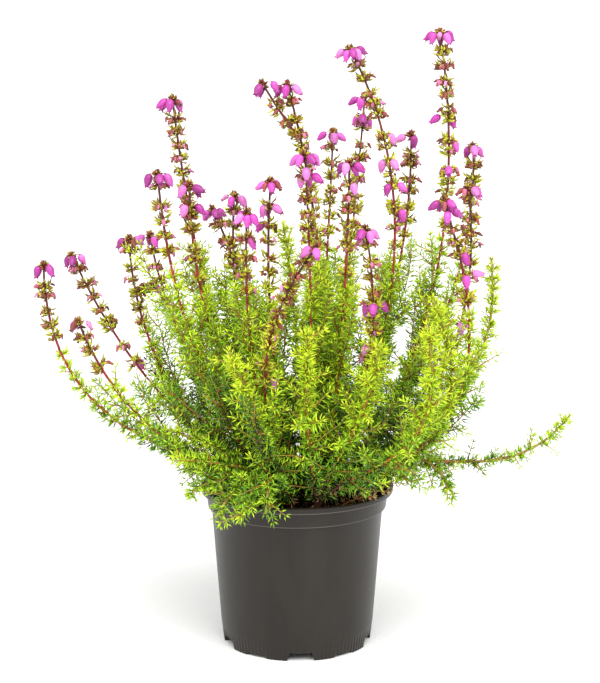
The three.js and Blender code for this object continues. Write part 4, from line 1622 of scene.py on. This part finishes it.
@dataclass(frozen=True)
class NurseryPot:
    """The round moulded pot, in millimetres.

    Upright flutes run round the wall's lowest part, up to flute_top and fading over flute_fade. The foot
    ring, from foot_inside out, is raised over deep and shallow notches in turn. wall_foot is where the
    fluted wall starts, and the drain holes lie on drain_circle.
    """

    steps: int = 540
    flutes: int = 108
    flute_depth: float = 0.28
    flute_top: float = 9.5
    flute_fade: float = 2.5
    foot_inside: float = 37.0
    wall_foot: float = 39.6
    foot_radius: float = 40.3
    foot_zone: float = 5.0
    first_angle: float = -15.0
    notch_count: int = 5
    deep: Notch = Notch(4.4, 12.0, 15.0)
    shallow: Notch = Notch(1.5, 10.0, 14.0)
    drain_radius: float = 3.2
    drain_circle: float = 33.0
    drain_middle: float = 5.4
    sharp_angle: float = 38.0

    def build(self) -> bpy.types.Object:
        """Spin the pot, flute and notch its foot, and drill its drain holes.

        Returns:
            The finished piece.
        """
        bm = spun(rounded(POT_SECTION), self.steps, NEAR)
        for vert in bm.verts:
            self.shape_foot(vert)
        mesh = bpy.data.meshes.new("Pot")
        bm.to_mesh(mesh)
        bm.free()
        self.drill(mesh)
        for polygon in mesh.polygons:
            polygon.use_smooth = True
        mesh.set_sharp_from_angle(angle=math.radians(self.sharp_angle))
        return hand_over(mesh, [POT_PLASTIC], ["pot"])

    def shape_foot(self, vert: bmesh.types.BMVert) -> None:
        """Flute the lowest part of the wall and raise the foot ring over the notches.

        Args:
            vert: A corner of the pot.
        """
        radius = math.hypot(vert.co.x, vert.co.y)
        angle = math.atan2(vert.co.y, vert.co.x)
        if radius < self.foot_inside * MM or vert.co.z > self.flute_top * MM:
            return
        if radius > self.wall_foot * MM:
            fade = min(1.0, (self.flute_top * MM - vert.co.z) / (self.flute_fade * MM))
            groove = self.flute_depth * MM * fade * (0.5 - 0.5 * math.cos(self.flutes * angle))
            vert.co.x *= 1 - groove / radius
            vert.co.y *= 1 - groove / radius
        zone = self.foot_zone * MM
        if vert.co.z < zone:
            rise = self.rise(angle)
            vert.co.z = rise + vert.co.z * (zone - rise) / zone

    def rise(self, angle: float) -> float:
        """How high the foot is cut at an angle.

        Args:
            angle: The angle about Z in radians.

        Returns:
            The height in metres.
        """
        step = 2 * math.pi / self.notch_count
        turn = angle - math.radians(self.first_angle)
        from_deep = (turn + step / 2) % step - step / 2
        from_shallow = turn % step - step / 2
        reach = self.foot_radius * MM
        return max(self.deep.rise(from_deep * reach), self.shallow.rise(from_shallow * reach))

    def drill(self, mesh: bpy.types.Mesh) -> None:
        """Cut the drain holes through the plate.

        Args:
            mesh: The pot's mesh, which is changed.
        """
        radius = self.drain_radius * MM
        bm = bmesh.new()
        for index in range(self.notch_count):
            turn = math.radians(self.first_angle) - index * 2 * math.pi / self.notch_count
            place = Vector((math.cos(turn), math.sin(turn), 0)) * self.drain_circle * MM
            place.z = self.drain_middle * MM
            bmesh.ops.create_cone(
                bm, cap_ends=True, segments=24, radius1=radius, radius2=radius, depth=6 * MM,
                matrix=Matrix.Translation(place),
            )
        cutter_mesh = bpy.data.meshes.new("drain_cutter")
        bm.to_mesh(cutter_mesh)
        bm.free()
        cutter = bpy.data.objects.new("drain_cutter", cutter_mesh)
        blank = bpy.data.objects.new("pot_blank", mesh.copy())
        for item in (cutter, blank):
            bpy.context.scene.collection.objects.link(item)
        cut = blank.modifiers.new("drain", "BOOLEAN")
        cut.object, cut.operation, cut.solver = cutter, "DIFFERENCE", "EXACT"
        result = bpy.data.meshes.new_from_object(blank.evaluated_get(bpy.context.evaluated_depsgraph_get()))
        bm = bmesh.new()
        bm.from_mesh(result)
        bm.to_mesh(mesh)
        bm.free()
        for item in (cutter, blank):
            spare = item.data
            bpy.data.objects.remove(item)
            bpy.data.meshes.remove(spare)
        bpy.data.meshes.remove(result)


@dataclass(frozen=True)
class Compost:
    """The compost in the pot: a low uneven top with crumbs, fibres and fallen needles on it.

    Lengths are in millimetres. Crumbs reach out to crumb_reach, and fibres and needles to litter_reach.
    """

    top: float = 78.0
    bump: float = 0.66
    steps: int = 120
    rings: int = 34
    radius: float = 44.4
    crumbs: int = 2600
    crumb_reach: float = 43.2
    crumb_sizes: tuple[float, float] = (0.5, 3.2)
    fibres: int = 160
    fibre_lengths: tuple[float, float] = (4, 9)
    fallen: int = 240
    fallen_lengths: tuple[float, float] = (3.5, 5.2)
    litter_reach: float = 38.0
    seed: int = 77

    def height(self, x: float, y: float) -> float:
        """The height of the compost's top at a place.

        Args:
            x: The place's X in metres.
            y: The place's Y in metres.

        Returns:
            The height in metres.
        """
        a, b = x / MM, y / MM
        wave = math.sin(a * 0.31 + 1.3) * math.cos(b * 0.27 - 0.6) + 0.6 * math.sin(a * 0.11 - b * 0.17)
        grain = noise.noise(Vector((a * 0.35, b * 0.35, 4.0))) * 0.7 + noise.noise(Vector((a, b, 9.0))) * 0.4
        return (self.top + self.bump * wave + 0.6 * grain) * MM

    def build(self) -> bpy.types.Object:
        """Fill the pot and strew the crumbs.

        Returns:
            The finished piece.
        """
        side = ((0, 6.6, 0), (38.4, 6.6, 0), (39.9, 12, 0), (44.6, 74.0, 0), (44.6, 77.0, 0))
        rings = [(self.radius * share, self.top, 0) for share in np.linspace(0.985, 0.03, self.rings)]
        bm = spun(rounded((*side, *rings, (0, self.top, 0))), self.steps, NEAR)
        for vert in bm.verts:
            if vert.co.z > (self.top - 0.5) * MM:
                vert.co.z = self.height(vert.co.x, vert.co.y)
        growth = Growth("Compost", Slot.COMPOST, [PEAT, DRY_NEEDLE])
        body = Stamp.cut(bm)
        growth.press(body, PEAT, np.zeros((1, 3)), np.eye(3)[None], np.array([0.4]), np.array([0.5]))
        self.strew(growth)
        return growth.finish(["compost"])

    def spots(self, rng: np.random.Generator, count: int, reach: float, lift: float) -> np.ndarray:
        """Random places on the compost's top.

        Args:
            rng: The repeatable draws.
            count: How many.
            reach: How far from the middle, in millimetres.
            lift: How far above the surface, in millimetres.

        Returns:
            The places.
        """
        radius = reach * MM * np.sqrt(rng.random(count))
        turn = rng.uniform(0, 2 * math.pi, count)
        x, y = radius * np.cos(turn), radius * np.sin(turn)
        z = np.array([self.height(a, b) for a, b in zip(x, y)]) + lift * MM
        return np.column_stack([x, y, z])

    def strew(self, growth: Growth) -> None:
        """Lay crumbs, fibres and fallen needles on the top.

        Args:
            growth: The piece that they lie on.
        """
        rng, count = np.random.default_rng(self.seed), self.crumbs
        spots = self.spots(rng, count, self.crumb_reach, 0.1)
        ways = rng.normal(0, 1, (count, 3))
        sizes = np.clip(rng.gamma(3.0, 0.42, count), *self.crumb_sizes) * MM
        frames = frames_for(ways, rng.normal(0, 1, (count, 3)), sizes, 0.7 * sizes, sizes)
        growth.press(CRUMB_SHAPE, PEAT, spots, frames, rng.random(count), np.full(count, 0.5))
        fibres = (PEAT, self.fibres, self.fibre_lengths)
        fallen = (DRY_NEEDLE, self.fallen, self.fallen_lengths)
        for skin, count, lengths in (fibres, fallen):
            spots = self.spots(rng, count, self.litter_reach, 0.9)
            turn = rng.uniform(0, 2 * math.pi, count)
            ways = np.column_stack([np.cos(turn), np.sin(turn), rng.normal(0.05, 0.12, count)])
            frames = frames_for(
                ways, np.tile(UP, (count, 1)), np.full(count, 0.55 * MM), np.full(count, 0.4 * MM),
                rng.uniform(*lengths, count) * MM,
            )
            growth.press(NEEDLE_SHAPE, skin, spots, frames, rng.random(count), rng.random(count))


# Studio


@dataclass(frozen=True)
class Softbox:
    """One large softbox, lit as from far off: the way it lies, its width in degrees and its strength."""

    name: str
    place: tuple[float, float, float]
    spread: float
    strength: float

    def build(self, target: Vector) -> None:
        """Set the light up.

        Args:
            target: What it faces.
        """
        data = bpy.data.lights.new(self.name, "SUN")
        data.angle = math.radians(self.spread)
        data.energy = self.strength
        light = bpy.data.objects.new(self.name, data)
        bpy.context.scene.collection.objects.link(light)
        light.location = self.place
        light.rotation_euler = (target - Vector(self.place)).to_track_quat("-Z", "Y").to_euler()


@dataclass(frozen=True)
class Studio:
    """Camera, soft lights and pale floor.

    Places and floor_side are in metres and pitch is in degrees below level. The image's height and the
    focal length are in pixels, film is in millimetres, and sky is how strongly the white paper lights.
    """

    camera_place: tuple[float, float, float] = (0.0016, -1.014, 0.356)
    pitch: float = 10.62
    focal_pixels: float = 1920.0
    image_height: float = 683.0
    film: float = 36.0
    floor_side: float = 110.0
    sight: float = 200.0
    aim: tuple[float, float, float] = (0.0, 0.0, 0.16)
    sky: float = 0.74
    boxes: tuple[Softbox, ...] = (
        Softbox("key_softbox", (0.4, -0.95, 1.5), 50.0, 2.7),
        Softbox("fill_softbox", (-0.8, -0.8, 1.2), 60.0, 1.1),
    )

    def build(self) -> None:
        """Set up the camera, the sky, the lights and the floor."""
        scene = bpy.context.scene
        data = bpy.data.cameras.new("camera")
        data.sensor_width = self.film
        data.lens = self.focal_pixels / self.image_height * self.film
        data.clip_end = self.sight
        camera = bpy.data.objects.new("camera", data)
        scene.collection.objects.link(camera)
        camera.location = self.camera_place
        camera.rotation_euler = (math.radians(90 - self.pitch), 0, 0)
        scene.camera = camera
        scene.view_settings.view_transform = "Standard"
        world = bpy.data.worlds.new("studio")
        world.use_nodes = True
        tree = world.node_tree
        background = tree.nodes["Background"]
        background.inputs["Color"].default_value = (1, 1, 1, 1)
        # the paper behind the pot is plain white, and lights it less than it shows
        seen = add_node(tree, "ShaderNodeLightPath").outputs["Is Camera Ray"]
        shown = add_node(tree, "ShaderNodeMapRange", {"Value": seen, "To Min": self.sky, "To Max": 1.0})
        tree.links.new(shown.outputs[0], background.inputs["Strength"])
        scene.world = world
        for box in self.boxes:
            box.build(Vector(self.aim))
        self.lay_floor()

    def lay_floor(self) -> None:
        """Lay the pale floor that the pot stands on."""
        bm = bmesh.new()
        bmesh.ops.create_grid(bm, x_segments=2, y_segments=2, size=self.floor_side / 2)
        mesh = bpy.data.meshes.new("Floor")
        bm.to_mesh(mesh)
        bm.free()
        mesh.materials.append(PAPER.material())
        floor = bpy.data.objects.new("Floor", mesh)
        bpy.context.scene.collection.objects.link(floor)


def main() -> None:
    """Build the studio, the pot, the compost and every stem, and note the sizes."""
    logging.basicConfig(level=logging.INFO, format="%(name)s: %(message)s")
    Studio().build()
    NurseryPot().build()
    Compost().build()
    for index, plan in enumerate(STEMS, start=1):
        LeafyStem(f"leafy_stem_{index:02d}", (plan,), seed=100 + index).build()
        if plan.spike:
            FlowerSpike(f"flower_spike_{index:02d}", plan, seed=200 + index).build()
    for index, (name, plans) in enumerate(GREEN_STEMS.items()):
        plans += RIM_SHOOTS.get(name, ())
        LeafyStem(name, plans, seed=300 + index, dry=name == "front_clump_right").build()


if __name__ == "__main__":
    main()
